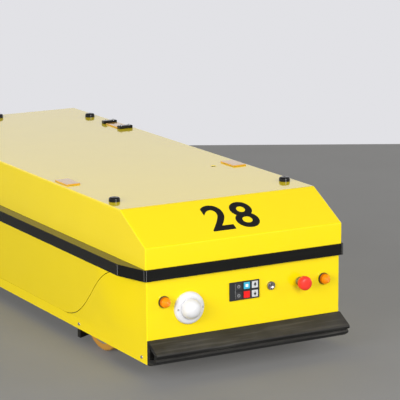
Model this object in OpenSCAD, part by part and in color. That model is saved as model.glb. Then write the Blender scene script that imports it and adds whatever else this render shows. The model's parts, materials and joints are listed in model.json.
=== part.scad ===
// Low automated guided vehicle that carries loads on a flat deck.
// Millimetres. +X is forward, +Y is the vehicle's left, +Z is up.
// The origin is on the floor under the middle of the vehicle.

/* [Hood] */
// Length over the hood's front and rear skirts
hood_len = 1860; // [1600:10:2200]
// Width over the hood's side plates
hood_w = 620; // [580:5:760]
// Height of the load deck over the floor
deck_z = 442; // [425:1:500]
// Length in plan of the sloped panel at each end
bevel_run = 145; // [100:1:180]
// Height of the upright skirt below the slope
skirt_h = 59; // [40:1:80]
// Thickness of the hood's sheet
hood_sheet = 3; // [2:0.5:5]

/* [Lower body] */
// Height of the body's lower edge over the floor
clearance_z = 40; // [30:1:50]
// Height of the rim that carries the hood
rim_top_z = 304; // [290:1:320]
// Height of the rim's outer face and of its rubbing strip
rim_h = 32; // [20:1:45]
// Distance that the rim stands out from the hood along each side
rim_flare = 31; // [15:1:50]
// Length over which the rim widens behind each end
flare_run = 100; // [60:1:130]
// Width of the rim's shelf
rim_shelf_w = 40; // [36:1:60]
// Thickness of the rim's metal
rim_wall = 4; // [3:0.5:6]
// Distance from the hood's face back to the lower panels
panel_recess = 5; // [3:0.5:8]
// Thickness of the lower panels' sheet
panel_sheet = 3; // [2:0.5:5]
// Thickness of the black rubbing strip
strip_t = 3; // [2:0.5:6]
// Height of the side door's lower seam over the body's lower edge
seam_h = 30; // [15:1:60]
// Length of the door's S-shaped end
door_ramp_run = 400; // [200:10:450]
// Width of the seam round the door
seam_gap = 2; // [1:0.5:4]

/* [Bumpers] */
// Height of the bumper's back
bumper_h = 67; // [50:1:90]
// Distance that the bumper's nose stands out
bumper_d = 58; // [40:1:80]

/* [Drive wheels] */
// Radius of the drive wheel over its tyre
drive_r = 120; // [105:1:130]
// Width of the drive wheel
drive_w = 50; // [40:1:60]
// Thickness of the drive wheel's tyre
drive_tyre_t = 20; // [10:1:30]
// Distance of the drive axle behind the hood's front
drive_setback = 325; // [280:5:380]
// Distance of the drive wheel's outer face inside the lower panels
drive_inset = 22; // [15:1:30]
// Radius of the drive spindle
spindle_r = 20; // [15:1:25]

/* [Casters] */
// Radius of the caster wheel
caster_r = 80; // [65:1:85]
// Width of the caster wheel
caster_w = 45; // [35:1:50]
// Distance of the caster's wheel axle from its swivel axis
caster_trail = 50; // [35:1:60]
// Distance of the swivel axis ahead of the hood's rear
caster_setback = 290; // [250:5:330]
// Distance of the swivel axis from the middle line
caster_y = 160; // [155:1:175]
// Radius of the caster's kingpin
kingpin_r = 10; // [8:0.5:14]
// Radius of the caster's axle
caster_axle_r = 6; // [5:0.5:10]

/* [Chassis] */
// Side of the square chassis rail
rail_side = 60; // [40:1:70]
// Height of the rails' underside over the floor
rail_z = 200; // [185:1:215]
// Length of the battery block
battery_len = 660; // [400:10:760]
// Width of the battery block
battery_w = 480; // [300:10:540]
// Height of the battery block
battery_h = 142; // [80:1:145]

/* [Deck fittings] */
// Radius of the rubber load buffer
buffer_r = 16; // [12:0.5:25]
// Height of the rubber load buffer
buffer_h = 12; // [5:0.5:15]
// Length of the load pad
pad_len = 80; // [60:1:120]
// Width of the load pad
pad_w = 43; // [30:1:60]
// Thickness of the load pad
pad_t = 4; // [2:0.5:8]
// Distance of the load pads from the vehicle's middle
pad_x = 385; // [300:5:450]
// Radius of the round hole in the deck
deck_hole_r = 7.5; // [5:0.5:12]

/* [Front panel fittings] */
// Height of the row of fittings over the body's lower edge
fitting_row_h = 171; // [150:1:185]
// Distance of the lamps from the panel's sides
lamp_edge = 52; // [40:1:65]
// Radius of the lamp's lens
lamp_r = 15; // [10:0.5:20]
// Distance of the stop button from the panel's side
stop_edge = 130; // [115:1:155]
// Radius of the stop button's head
stop_r = 20; // [15:0.5:25]
// Distance of the sounder from the panel's side
sounder_edge = 128; // [120:1:155]
// Height of the sounder over the body's lower edge
sounder_h = 143; // [130:1:170]
// Radius of the sounder's flange
sounder_r = 45; // [35:1:50]
// Width of the control plate
control_w = 94; // [80:1:110]
// Height of the control plate
control_h = 52; // [40:1:60]

/* [Hidden] */
$fn = 96;

// Finishes
yellow = [1.0, 0.86, 0.05];
black = [0.07, 0.07, 0.07];
dark_steel = [0.22, 0.23, 0.24];
light_metal = [0.70, 0.71, 0.72];
polyurethane = [0.80, 0.47, 0.14];
orange = [0.95, 0.60, 0.10];
white = [0.93, 0.93, 0.92];
red = [0.85, 0.10, 0.08];

// Clearances that serve every piece
overrun = 1;
running_gap = 0.05;
bond_gap = 0.05;
bearing_gap = 0.5;

// Hood
hood_half = hood_len / 2;
hood_side_y = hood_w / 2;
fold_z = rim_top_z + skirt_h;
hood_points = [
    [hood_half, rim_top_z], [hood_half, fold_z], [hood_half - bevel_run, deck_z],
    [bevel_run - hood_half, deck_z], [-hood_half, fold_z], [-hood_half, rim_top_z]
];

// Rim and lower panels
rim_stand_out = 1;
rim_x = hood_half + rim_stand_out;
rim_end_y = hood_side_y + rim_stand_out;
rim_side_y = hood_side_y + rim_flare;
rim_cut_x = rim_x - rim_shelf_w - rim_wall;
rim_bottom_z = rim_top_z - rim_h;
shelf_z = rim_top_z - rim_wall;
rim_points = [
    [rim_x, -rim_end_y], [rim_x, rim_end_y],
    [rim_x - flare_run, rim_side_y], [flare_run - rim_x, rim_side_y],
    [-rim_x, rim_end_y], [-rim_x, -rim_end_y],
    [flare_run - rim_x, -rim_side_y], [rim_x - flare_run, -rim_side_y]
];
body_x = hood_half - panel_recess;
body_y = hood_side_y - panel_recess;
seam_z = clearance_z + seam_h;
skin_rim_gap = 2;
skin_flare = rim_side_y - rim_wall - skin_rim_gap - body_y;
skin_steps = 6;
skin_run = 2.6 * flare_run;
skin_columns = 10;
door_x = hood_half - bevel_run;
ramp_lead = 8;
ramp_bias = 1.18;
ramp_steps = 24;
seam_low_gap = 0.5;

// Bumper section, as shares of its depth and height
bumper_w = 2 * body_y;
bumper_section_shares = [
    [0, 0], [0.20, 0], [0.55, 0.09], [0.85, 0.24], [0.90, 0.29], [0.89, 0.35], [0.80, 0.38],
    [0.80, 0.41], [0.95, 0.45], [0.99, 0.50], [1, 0.55], [0.98, 0.59], [0.94, 0.615],
    [0.14, 1], [0, 1]
];
bumper_hollow_shares = [
    [0.25, 0.25], [0.60, 0.32], [0.67, 0.37], [0.71, 0.50], [0.68, 0.57], [0.25, 0.78]
];

// Drive wheels
drive_x = hood_half - drive_setback;
drive_out_y = body_y - drive_inset;
drive_in_y = drive_out_y - drive_w;
drive_rim_r = drive_r - drive_tyre_t;
tyre_edge_r = 6;
hub_dish = 8;
hub_boss_r = 34;
hub_rim_t = 14;
hub_web_t = 22;
spindle_end_gap = 6;
bracket_t = 12;
bracket_w = 150;
bracket_low_z = 62;
bracket_side_gap = 16;
motor_r = 52;
motor_middle_gap = 40;
gear_r = 68;
gear_len = 14;

// Rails
rail_wall = 4;
rail_out_y = drive_in_y - bracket_side_gap - bracket_t;
rail_mid_y = rail_out_y - rail_side / 2;
rail_half = body_x - panel_sheet;
motor_len = rail_out_y - motor_middle_gap;
cross_x = 430;
cross_w = 50;
tray_t = 4;
tray_len = 800;
tray_z = 46;

// Foot guards behind the drive wheels
guard_gap = 8;
guard_t = 18;
guard_w = 72;
guard_stem_t = 14;
guard_stem_h = 60;
guard_low_z = 13;
guard_rise = 16;

// Casters
caster_x = caster_setback - hood_half;
caster_rim_r = 58;
caster_edge_r = 8;
caster_boss_r = 14;
caster_web_t = 12;
caster_rim_t = 10;
caster_top_t = 8;
caster_top_len = 130;
caster_top_w = 110;
caster_boss_h = 8;
caster_race_r = 32;
fork_gap = 8;
fork_t = 8;
fork_crown_t = 12;
fork_crown_r = 42;
fork_eye_r = 20;
fork_shoulder = 34;
swivel_gap = 2;
kingpin_top_gap = 1;
caster_boss_z = rail_z - caster_top_t - caster_boss_h;
crown_top_z = caster_boss_z - swivel_gap;
crown_z = crown_top_z - fork_crown_t;
fork_in = caster_w / 2 + fork_gap;

// Deck fittings
buffer_edge_r = 3;
buffer_front_edge = 104;
buffer_rear_edge = 197;
buffer_tail_edge = 51;
buffer_side_edge = 36;
buffer_front_x = door_x - buffer_front_edge;
buffer_rear_x = buffer_rear_edge - door_x;
buffer_tail_x = buffer_tail_edge - door_x;
buffer_y = hood_side_y - buffer_side_edge;
buffer_places = [
    [buffer_front_x, buffer_y], [buffer_front_x, -buffer_y],
    [buffer_rear_x, buffer_y], [buffer_rear_x, -buffer_y], [buffer_tail_x, 0]
];
pad_side_edge = 35;
pad_y = hood_side_y - pad_side_edge;
block_len = 18;
block_w = 49;
block_h = 10;
block_gap = 8;
deck_hole_end_edge = 400;
deck_hole_side_edge = 103;
deck_hole_x = door_x - deck_hole_end_edge;
deck_hole_y = hood_side_y - deck_hole_side_edge;

// Panel fittings
row_z = clearance_z + fitting_row_h;
lamp_drop = 2;
lamp_z = row_z - lamp_drop;
control_drop = 2;
control_z = row_z - control_drop;
lamp_y = body_y - lamp_edge;
stop_y = body_y - stop_edge;
sounder_y = body_y - sounder_edge;
stop_collar_r = 13;
stop_collar_h = 15;
stop_stem_r = 11;
stop_stem_h = 5;
stop_head_h = 20;
stop_head_edge_h = 8;
lamp_bezel_r = 16.5;
lamp_bezel_h = 5;
lamp_h = 20;
lamp_side_h = 6;
sounder_z = clearance_z + sounder_h;
sounder_flange_h = 12;
sounder_edge_r = 5;
sounder_dome_r = 28.5;
sounder_dome_h = 28;
control_y = -4;
control_t = 4;
key_side = 20;
key_h = 2.5;
key_column_shares = [-0.213, 0.062, 0.337];
key_row_shares = [-0.232, 0.258];
lock_y = 81;
lock_r = 12.5;
lock_h = 6;
lock_face_r = 9;
lock_slot_w = 3;
lock_slot_h = 10;
lock_slot_depth = 3;

// Geometry helpers

function unit(v) = v / norm(v);

// Outward normal of an edge of an anticlockwise outline
function edge_normal(a, b) = let (d = unit(b - a)) [d[1], -d[0]];

// Convex anticlockwise outline moved inwards by d
function inset(points, d) = let (count = len(points)) [
    for (i = [0 : count - 1])
        let (
            before = edge_normal(points[(i + count - 1) % count], points[i]),
            after = edge_normal(points[i], points[(i + 1) % count])
        )
        points[i] - d * (before + after) / (1 + before * after)
];

function clamp(value, low, high) = min(max(value, low), high);

// Section in X and Z drawn out along Y, half to each side
module along_y(width) {
    rotate([90, 0, 0]) linear_extrude(width, center = true) children();
}

// Turned piece whose axis points along +Y from the point given
module turned_y(place) {
    translate(place) rotate([-90, 0, 0]) children();
}

// Fitting that stands out of the front panel, or of the rear one with end = -1
module on_panel(end, y, z) {
    translate([end * body_x, y, z]) rotate([0, end * 90, 0]) children();
}

// The vehicle's left side with side = 1 and its right with side = -1
module on_side(side) {
    mirror([0, side > 0 ? 0 : 1, 0]) children();
}

// Hood

function hood_profile(d) = let (p = inset(hood_points, d)) [
    [p[0][0], rim_top_z], p[1], p[2], p[3], p[4], [p[5][0], rim_top_z]
];

module deck_plate() {
    outer = hood_points;
    inner = hood_profile(hood_sheet);
    color(yellow) difference() {
        along_y(hood_w) polygon([outer[2], outer[3], inner[3], inner[2]]);
        translate([deck_hole_x, deck_hole_y, deck_z - hood_sheet - overrun])
            cylinder(h = hood_sheet + 2 * overrun, r = deck_hole_r);
    }
}

// Bent sheet that makes the slope and the skirt of one end
module hood_end(first) {
    outer = hood_points;
    inner = hood_profile(hood_sheet);
    color(yellow) along_y(hood_w) polygon([
        for (i = [0 : 2]) outer[first + i],
        for (i = [2 : -1 : 0]) inner[first + i]
    ]);
}

module hood_side(side) {
    color(yellow) translate([0, side * (hood_side_y - hood_sheet / 2), 0])
        along_y(hood_sheet) polygon(hood_profile(hood_sheet));
}

// Rim

module rim_ring() {
    translate([0, 0, shelf_z]) linear_extrude(rim_wall) difference() {
        polygon(rim_points);
        polygon(inset(rim_points, rim_shelf_w));
    }
    translate([0, 0, rim_bottom_z]) linear_extrude(rim_h) difference() {
        polygon(rim_points);
        polygon(inset(rim_points, rim_wall));
    }
}

module rim_end(end) {
    reach = rim_shelf_w + overrun;
    color(black) intersection() {
        rim_ring();
        translate([end > 0 ? rim_cut_x : -rim_cut_x - reach, -rim_side_y, rim_bottom_z])
            cube([reach, 2 * rim_side_y, rim_h]);
    }
}

module rim_side(side) {
    color(black) intersection() {
        rim_ring();
        translate([-rim_cut_x, side > 0 ? 0 : -rim_side_y, rim_bottom_z])
            cube([2 * rim_cut_x, rim_side_y, rim_h]);
    }
}

module rubbing_strip() {
    color(black) translate([0, 0, rim_bottom_z]) linear_extrude(rim_h) difference() {
        polygon(inset(rim_points, -strip_t));
        polygon(rim_points);
    }
}

// Lower panels

module end_panel(end) {
    color(yellow)
        translate([end > 0 ? body_x - panel_sheet : -body_x, -body_y, clearance_z])
        cube([panel_sheet, 2 * body_y, shelf_z - clearance_z]);
}

// Outer face of the body's side, which leans out towards the rim
function side_y(x, z) =
    let (
        near = clamp((body_x - abs(x)) / skin_run, 0, 1),
        along = near * near * (3 - 2 * near),
        up = clamp((z - seam_z) / (rim_bottom_z - seam_z), 0, 1)
    )
    body_y + skin_flare * along * up;

function skin_xs() =
    let (end = body_x - panel_sheet, start = body_x - skin_run) [
        for (i = [0 : skin_columns]) end + (start - end) * i / skin_columns,
        for (i = [skin_columns : -1 : 0]) -(end + (start - end) * i / skin_columns)
    ];

function skin_zs() = [
    clearance_z,
    for (j = [0 : skin_steps]) seam_z + (rim_bottom_z - seam_z) * j / skin_steps,
    shelf_z
];

function split(q) = [[q[0], q[1], q[2]], [q[0], q[2], q[3]]];

// Sheet of the whole left side, before the door is cut out of it
module side_skin() {
    xs = skin_xs();
    zs = skin_zs();
    columns = len(xs);
    rows = len(zs);
    inner = columns * rows;
    points = [
        for (back = [0, panel_sheet]) for (x = xs) for (z = zs) [x, side_y(x, z) - back, z]
    ];
    faces = [
        for (i = [0 : columns - 2]) for (j = [0 : rows - 2])
            let (a = i * rows + j, b = a + 1, c = a + rows + 1, d = a + rows)
            each concat(
                split([a, b, c, d]),
                split([inner + d, inner + c, inner + b, inner + a])
            ),
        for (i = [0 : columns - 2])
            let (a = i * rows, b = a + rows, top = rows - 1)
            each concat(
                split([a, b, inner + b, inner + a]),
                split([b + top, a + top, inner + a + top, inner + b + top])
            ),
        for (j = [0 : rows - 2])
            let (a = j, b = (columns - 1) * rows + j)
            each concat(
                split([a + 1, a, inner + a, inner + a + 1]),
                split([b, b + 1, inner + b + 1, inner + b])
            )
    ];
    polyhedron(points, faces);
}

// Door outline in X and Z, with an S-shaped ramp at each end
module door_outline() {
    ramp = [
        for (i = [0 : ramp_steps])
            let (u = i / ramp_steps)
            [
                door_x + ramp_lead - door_ramp_run * (1 - u),
                seam_z + (rim_bottom_z - seam_z) * (1 - cos(180 * pow(u, ramp_bias))) / 2
            ]
    ];
    top = shelf_z + overrun;
    polygon([
        each ramp, [door_x + ramp_lead, top], [-door_x - ramp_lead, top],
        for (i = [ramp_steps : -1 : 0]) [-ramp[i][0], ramp[i][1]]
    ]);
}

// Opening for the door, with a finer gap along its straight lower edge
module door_opening() {
    intersection() {
        offset(delta = seam_gap) door_outline();
        translate([-body_x, seam_z - seam_low_gap]) square([2 * body_x, rim_top_z]);
    }
}

module side_panel(side) {
    color(yellow) on_side(side) difference() {
        side_skin();
        translate([0, rim_side_y, 0]) along_y(2 * rim_flare + 2 * hood_sheet + hood_side_y)
            door_opening();
    }
}

module side_door(side) {
    color(yellow) on_side(side) intersection() {
        side_skin();
        translate([0, rim_side_y, 0]) along_y(2 * rim_flare + 2 * hood_sheet + hood_side_y)
            door_outline();
    }
}

// Bumpers

function bumper_points(shares) = [
    for (s = shares) [body_x + s[0] * bumper_d, clearance_z + s[1] * bumper_h]
];

module bumper(end) {
    color(black) mirror([end > 0 ? 0 : 1, 0, 0]) along_y(bumper_w) difference() {
        polygon(bumper_points(bumper_section_shares));
        polygon(bumper_points(bumper_hollow_shares));
    }
}

// Chassis

module rail(side) {
    hollow = rail_side - 2 * rail_wall;
    color(dark_steel) translate([-rail_half, side * rail_mid_y, rail_z + rail_side / 2])
        rotate([0, 90, 0]) linear_extrude(2 * rail_half) difference() {
            square(rail_side, center = true);
            square(hollow, center = true);
        }
}

module cross_members() {
    span = 2 * (rail_mid_y - rail_side / 2);
    color(dark_steel) for (x = [-cross_x, 0, cross_x])
        translate([x - cross_w / 2, -span / 2, rail_z])
            cube([cross_w, span, rail_side]);
}

module battery_tray() {
    width = 2 * (body_y - panel_sheet);
    color(dark_steel) translate([-tray_len / 2, -width / 2, tray_z])
        cube([tray_len, width, tray_t]);
}

module battery() {
    color(black) translate([-battery_len / 2, -battery_w / 2, tray_z + tray_t])
        cube([battery_len, battery_w, battery_h]);
}

// Drive wheels

// Bracket on the rail's side, with the motor inside it and the wheel's spindle outside
module drive_unit(side) {
    color(dark_steel) on_side(side) union() {
        translate([drive_x - bracket_w / 2, rail_out_y, bracket_low_z])
            cube([bracket_w, bracket_t, rail_z + rail_side - bracket_low_z]);
        turned_y([drive_x, rail_out_y - motor_len, drive_r])
            cylinder(h = motor_len + bracket_t / 2, r = motor_r);
        turned_y([drive_x, rail_out_y - gear_len, drive_r])
            cylinder(h = gear_len + bracket_t / 2, r = gear_r);
        turned_y([drive_x, rail_out_y + bracket_t / 2, drive_r])
            cylinder(h = drive_out_y - spindle_end_gap - rail_out_y - bracket_t / 2, r = spindle_r);
    }
}

// Wheel section from its bore out to its rim, with a thinner web between them
module wheel_section(bore_r, boss_r, web_t, rim_in_r, rim_r, width, dish) {
    translate([bore_r, 0]) square([boss_r - bore_r, width]);
    translate([boss_r - overrun, dish]) square([rim_in_r - boss_r + 2 * overrun, web_t]);
    translate([rim_in_r, 0]) square([rim_r - rim_in_r, width]);
}

module drive_hub(side) {
    color(light_metal) on_side(side) turned_y([drive_x, drive_in_y, drive_r]) rotate_extrude()
        wheel_section(
            spindle_r + running_gap, hub_boss_r, hub_web_t,
            drive_rim_r - hub_rim_t, drive_rim_r, drive_w, drive_w - hub_dish - hub_web_t
        );
}

// Tyre section with its two outer edges rounded
module tyre_section(in_r, out_r, width, edge_r) {
    difference() {
        translate([in_r, 0]) square([out_r - in_r, width]);
        for (low = [true, false])
            translate([out_r - edge_r, low ? 0 : width - edge_r])
                difference() {
                    translate([0, low ? -overrun : 0]) square([edge_r + overrun, edge_r + overrun]);
                    translate([0, low ? edge_r : 0]) circle(edge_r);
                }
    }
}

module drive_tyre(side) {
    color(polyurethane) on_side(side) turned_y([drive_x, drive_in_y, drive_r]) rotate_extrude()
        tyre_section(drive_rim_r + bond_gap, drive_r, drive_w, tyre_edge_r);
}

// Black guards that keep feet away from the back of each drive wheel
module foot_guards() {
    drop = drive_r - clearance_z;
    front = drive_x - sqrt(drive_r * drive_r - drop * drop) - guard_gap;
    outer = body_y - panel_sheet;
    top = clearance_z + guard_stem_h;
    color(black) for (side = [1, -1]) on_side(side)
        translate([front - guard_t, 0, 0]) rotate([90, 0, 90]) linear_extrude(guard_t) polygon([
            [outer, guard_low_z], [outer, top],
            [outer - guard_stem_t, top], [outer - guard_stem_t, clearance_z],
            [outer - guard_w, clearance_z], [outer - guard_w, guard_low_z + guard_rise]
        ]);
}

// Casters

module caster_plate(side) {
    color(light_metal) translate([caster_x, side * caster_y, 0]) difference() {
        union() {
            translate([-caster_top_len / 2, -caster_top_w / 2, rail_z - caster_top_t])
                cube([caster_top_len, caster_top_w, caster_top_t]);
            translate([0, 0, caster_boss_z]) cylinder(h = caster_boss_h + overrun, r = caster_race_r);
        }
        translate([0, 0, caster_boss_z - overrun])
            cylinder(h = rail_z - caster_boss_z + 2 * overrun, r = kingpin_r + running_gap);
    }
}

// Leg of the fork, from the crown down to the eye round the axle
module fork_leg() {
    rotate([90, 0, 0]) linear_extrude(fork_t, center = true) union() {
        polygon([
            [fork_shoulder, crown_z], [fork_shoulder, crown_top_z],
            [-fork_shoulder, crown_top_z], [-caster_trail - fork_eye_r, caster_r],
            [-caster_trail + fork_eye_r, caster_r]
        ]);
        translate([-caster_trail, caster_r]) circle(fork_eye_r);
    }
}

module caster_fork(side) {
    leg_y = fork_in + fork_t / 2;
    color(light_metal) translate([caster_x, side * caster_y, 0]) union() {
        translate([0, 0, crown_z]) cylinder(h = fork_crown_t, r = fork_crown_r);
        translate([0, 0, crown_top_z - overrun])
            cylinder(h = rail_z - kingpin_top_gap - crown_top_z + overrun, r = kingpin_r);
        for (y = [-leg_y, leg_y]) translate([0, y, 0]) fork_leg();
        turned_y([-caster_trail, -leg_y, caster_r]) cylinder(h = 2 * leg_y, r = caster_axle_r);
    }
}

module caster_hub(side) {
    width = caster_w;
    color(light_metal) translate([caster_x - caster_trail, side * caster_y, caster_r])
        rotate([-90, 0, 0]) rotate_extrude() union() {
            translate([0, -width / 2]) wheel_section(
                caster_axle_r + running_gap, caster_boss_r, caster_web_t,
                caster_rim_r - caster_rim_t, caster_rim_r, width, (width - caster_web_t) / 2
            );
            translate([caster_axle_r + running_gap, bearing_gap - fork_in])
                square([caster_boss_r - caster_axle_r - running_gap, 2 * (fork_in - bearing_gap)]);
        }
}

module caster_tyre(side) {
    color(polyurethane) translate([caster_x - caster_trail, side * caster_y, caster_r])
        rotate([-90, 0, 0]) translate([0, 0, -caster_w / 2]) rotate_extrude()
            tyre_section(caster_rim_r + bond_gap, caster_r, caster_w, caster_edge_r);
}

// Deck fittings

module buffer() {
    rotate_extrude() union() {
        square([buffer_r - buffer_edge_r, buffer_h]);
        square([buffer_r, buffer_h - buffer_edge_r]);
        translate([buffer_r - buffer_edge_r, buffer_h - buffer_edge_r])
            intersection() {
                circle(buffer_edge_r);
                square(buffer_edge_r);
            }
    }
}

module deck_buffers() {
    color(black) for (place = buffer_places) translate([place[0], place[1], deck_z]) buffer();
}

module load_pads() {
    color(orange) for (x = [-pad_x, pad_x]) for (y = [-pad_y, pad_y])
        translate([x - pad_len / 2, y - pad_w / 2, deck_z]) cube([pad_len, pad_w, pad_t]);
}

// Pairs of bars before and behind each rear pad
module stop_blocks() {
    reach = pad_len / 2 + block_gap + block_len / 2;
    color(black) for (x = [-pad_x - reach, -pad_x + reach]) for (y = [-pad_y, pad_y])
        translate([x - block_len / 2, y - block_w / 2, deck_z]) cube([block_len, block_w, block_h]);
}

// Panel fittings

module stop_collars() {
    color(light_metal) for (end = [1, -1]) on_panel(end, end * stop_y, row_z)
        cylinder(h = stop_collar_h, r = stop_collar_r);
}

module stop_head() {
    crown_h = stop_head_h - stop_head_edge_h;
    crown_r = (stop_r * stop_r + crown_h * crown_h) / (2 * crown_h);
    cylinder(h = stop_stem_h + overrun, r = stop_stem_r);
    translate([0, 0, stop_stem_h]) cylinder(h = stop_head_edge_h, r = stop_r);
    translate([0, 0, stop_stem_h + stop_head_edge_h]) intersection() {
        translate([0, 0, crown_h - crown_r]) sphere(crown_r);
        cylinder(h = crown_h, r = stop_r);
    }
}

module stop_heads() {
    color(red) for (end = [1, -1]) on_panel(end, end * stop_y, row_z)
        translate([0, 0, stop_collar_h]) stop_head();
}

module lamp_bezels() {
    color(black) for (end = [1, -1]) for (y = [-lamp_y, lamp_y]) on_panel(end, y, lamp_z)
        cylinder(h = lamp_bezel_h, r = lamp_bezel_r);
}

module lamp_lens() {
    dome_h = lamp_h - lamp_side_h;
    dome_r = (lamp_r * lamp_r + dome_h * dome_h) / (2 * dome_h);
    cylinder(h = lamp_side_h, r = lamp_r);
    translate([0, 0, lamp_side_h]) intersection() {
        translate([0, 0, dome_h - dome_r]) sphere(dome_r);
        cylinder(h = dome_h, r = lamp_r);
    }
}

module lamp_lenses() {
    color(orange) for (end = [1, -1]) for (y = [-lamp_y, lamp_y]) on_panel(end, y, lamp_z)
        translate([0, 0, lamp_bezel_h]) lamp_lens();
}

module sounder_flange() {
    color(white) on_panel(1, -sounder_y, sounder_z) rotate_extrude() union() {
        square([sounder_r - sounder_edge_r, sounder_flange_h]);
        square([sounder_r, sounder_flange_h - sounder_edge_r]);
        translate([sounder_r - sounder_edge_r, sounder_flange_h - sounder_edge_r]) intersection() {
            circle(sounder_edge_r);
            square(sounder_edge_r);
        }
    }
}

module sounder_dome() {
    ball_r = (sounder_dome_r * sounder_dome_r + sounder_dome_h * sounder_dome_h) / (2 * sounder_dome_h);
    color(white) on_panel(1, -sounder_y, sounder_z) translate([0, 0, sounder_flange_h])
        intersection() {
            translate([0, 0, sounder_dome_h - ball_r]) sphere(ball_r);
            cylinder(h = sounder_dome_h, r = sounder_dome_r);
        }
}

module control_plate() {
    color(black) translate([body_x, control_y - control_w / 2, control_z - control_h / 2])
        cube([control_t, control_w, control_h]);
}

module control_keys() {
    color(white) for (column = key_column_shares) for (row = key_row_shares)
        translate([
            body_x + control_t,
            control_y + column * control_w - key_side / 2,
            control_z + row * control_h - key_side / 2
        ]) cube([key_h, key_side, key_side]);
}

module key_switch() {
    color(light_metal) on_panel(1, lock_y, row_z) difference() {
        cylinder(h = lock_h, r = lock_r);
        translate([-lock_slot_h / 2, -lock_slot_w / 2, lock_h - lock_slot_depth])
            cube([lock_slot_h, lock_slot_w, lock_slot_depth + overrun]);
    }
}

deck_plate();
hood_end(0);  // hood_front
hood_end(3);  // hood_rear
hood_side(-1);  // hood_side_right
hood_side(1);  // hood_side_left
rim_end(1);  // rim_front
rim_end(-1);  // rim_rear
rim_side(-1);  // rim_right
rim_side(1);  // rim_left
rubbing_strip();
end_panel(1);  // front_panel
end_panel(-1);  // rear_panel
side_panel(-1);  // side_panel_right
side_panel(1);  // side_panel_left
side_door(-1);  // side_door_right
side_door(1);  // side_door_left
bumper(1);  // bumper_front
bumper(-1);  // bumper_rear
rail(-1);  // rail_right
rail(1);  // rail_left
cross_members();
battery_tray();
battery();
drive_unit(-1);  // drive_unit_right
drive_unit(1);  // drive_unit_left
drive_hub(-1);  // drive_hub_right
drive_hub(1);  // drive_hub_left
drive_tyre(-1);  // drive_tyre_right
drive_tyre(1);  // drive_tyre_left
foot_guards();
caster_plate(-1);  // caster_plate_right
caster_plate(1);  // caster_plate_left
caster_fork(-1);  // caster_fork_right
caster_fork(1);  // caster_fork_left
caster_hub(-1);  // caster_hub_right
caster_hub(1);  // caster_hub_left
caster_tyre(-1);  // caster_tyre_right
caster_tyre(1);  // caster_tyre_left
deck_buffers();
load_pads();
stop_blocks();
stop_collars();
stop_heads();
lamp_bezels();
lamp_lenses();
sounder_flange();
sounder_dome();
control_plate();
control_keys();
key_switch();
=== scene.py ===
"""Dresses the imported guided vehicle: paint, rubber, fittings, floor, light and camera."""

from __future__ import annotations

import json
import logging
import math
from collections.abc import Callable, Iterator, Sequence
from contextlib import contextmanager
from dataclasses import dataclass, field, replace
from enum import Enum

import bpy
from mathutils import Matrix, Vector


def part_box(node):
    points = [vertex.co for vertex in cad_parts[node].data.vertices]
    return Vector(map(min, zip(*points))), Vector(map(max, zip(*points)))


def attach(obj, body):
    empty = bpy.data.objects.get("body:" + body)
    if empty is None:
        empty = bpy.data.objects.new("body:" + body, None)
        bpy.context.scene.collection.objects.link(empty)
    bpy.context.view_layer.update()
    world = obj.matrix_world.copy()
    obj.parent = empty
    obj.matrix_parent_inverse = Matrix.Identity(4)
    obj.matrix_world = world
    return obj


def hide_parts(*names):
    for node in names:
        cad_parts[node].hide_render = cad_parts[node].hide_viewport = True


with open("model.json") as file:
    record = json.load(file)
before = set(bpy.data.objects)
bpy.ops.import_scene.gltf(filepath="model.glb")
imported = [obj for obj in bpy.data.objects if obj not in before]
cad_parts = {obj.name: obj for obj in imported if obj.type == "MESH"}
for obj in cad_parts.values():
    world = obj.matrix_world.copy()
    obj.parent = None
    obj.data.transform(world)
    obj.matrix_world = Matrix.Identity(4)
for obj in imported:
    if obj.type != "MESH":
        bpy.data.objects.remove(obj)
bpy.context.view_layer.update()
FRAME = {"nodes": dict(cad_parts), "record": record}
LOG = logging.getLogger("guided_vehicle")
CHASSIS = "chassis"
UP = Vector((0, 0, 1))

Object = bpy.types.Object
Node = bpy.types.Node
Socket = bpy.types.NodeSocket
Tree = bpy.types.NodeTree
Colour = tuple[float, float, float]
Pair = tuple[float, float]
Place = Sequence[float]
Profile = Sequence[Pair]


class Pick(Enum):
    """What an edit-mode operator acts on."""

    POINTS = (True, False, False)
    EDGES = (False, True, False)
    FACES = (False, False, True)


class Direction(Enum):
    """A way that the vehicle faces, with the sign of its axis."""

    @property
    def word(self) -> str:
        """The direction's name as the nodes and bodies use it."""
        return self.name.lower()


class Side(Direction):
    """The vehicle's two sides, with the sign of Y on each."""

    RIGHT = -1
    LEFT = 1


class End(Direction):
    """The vehicle's two ends, with the sign of X at each."""

    FRONT = 1
    REAR = -1


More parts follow.
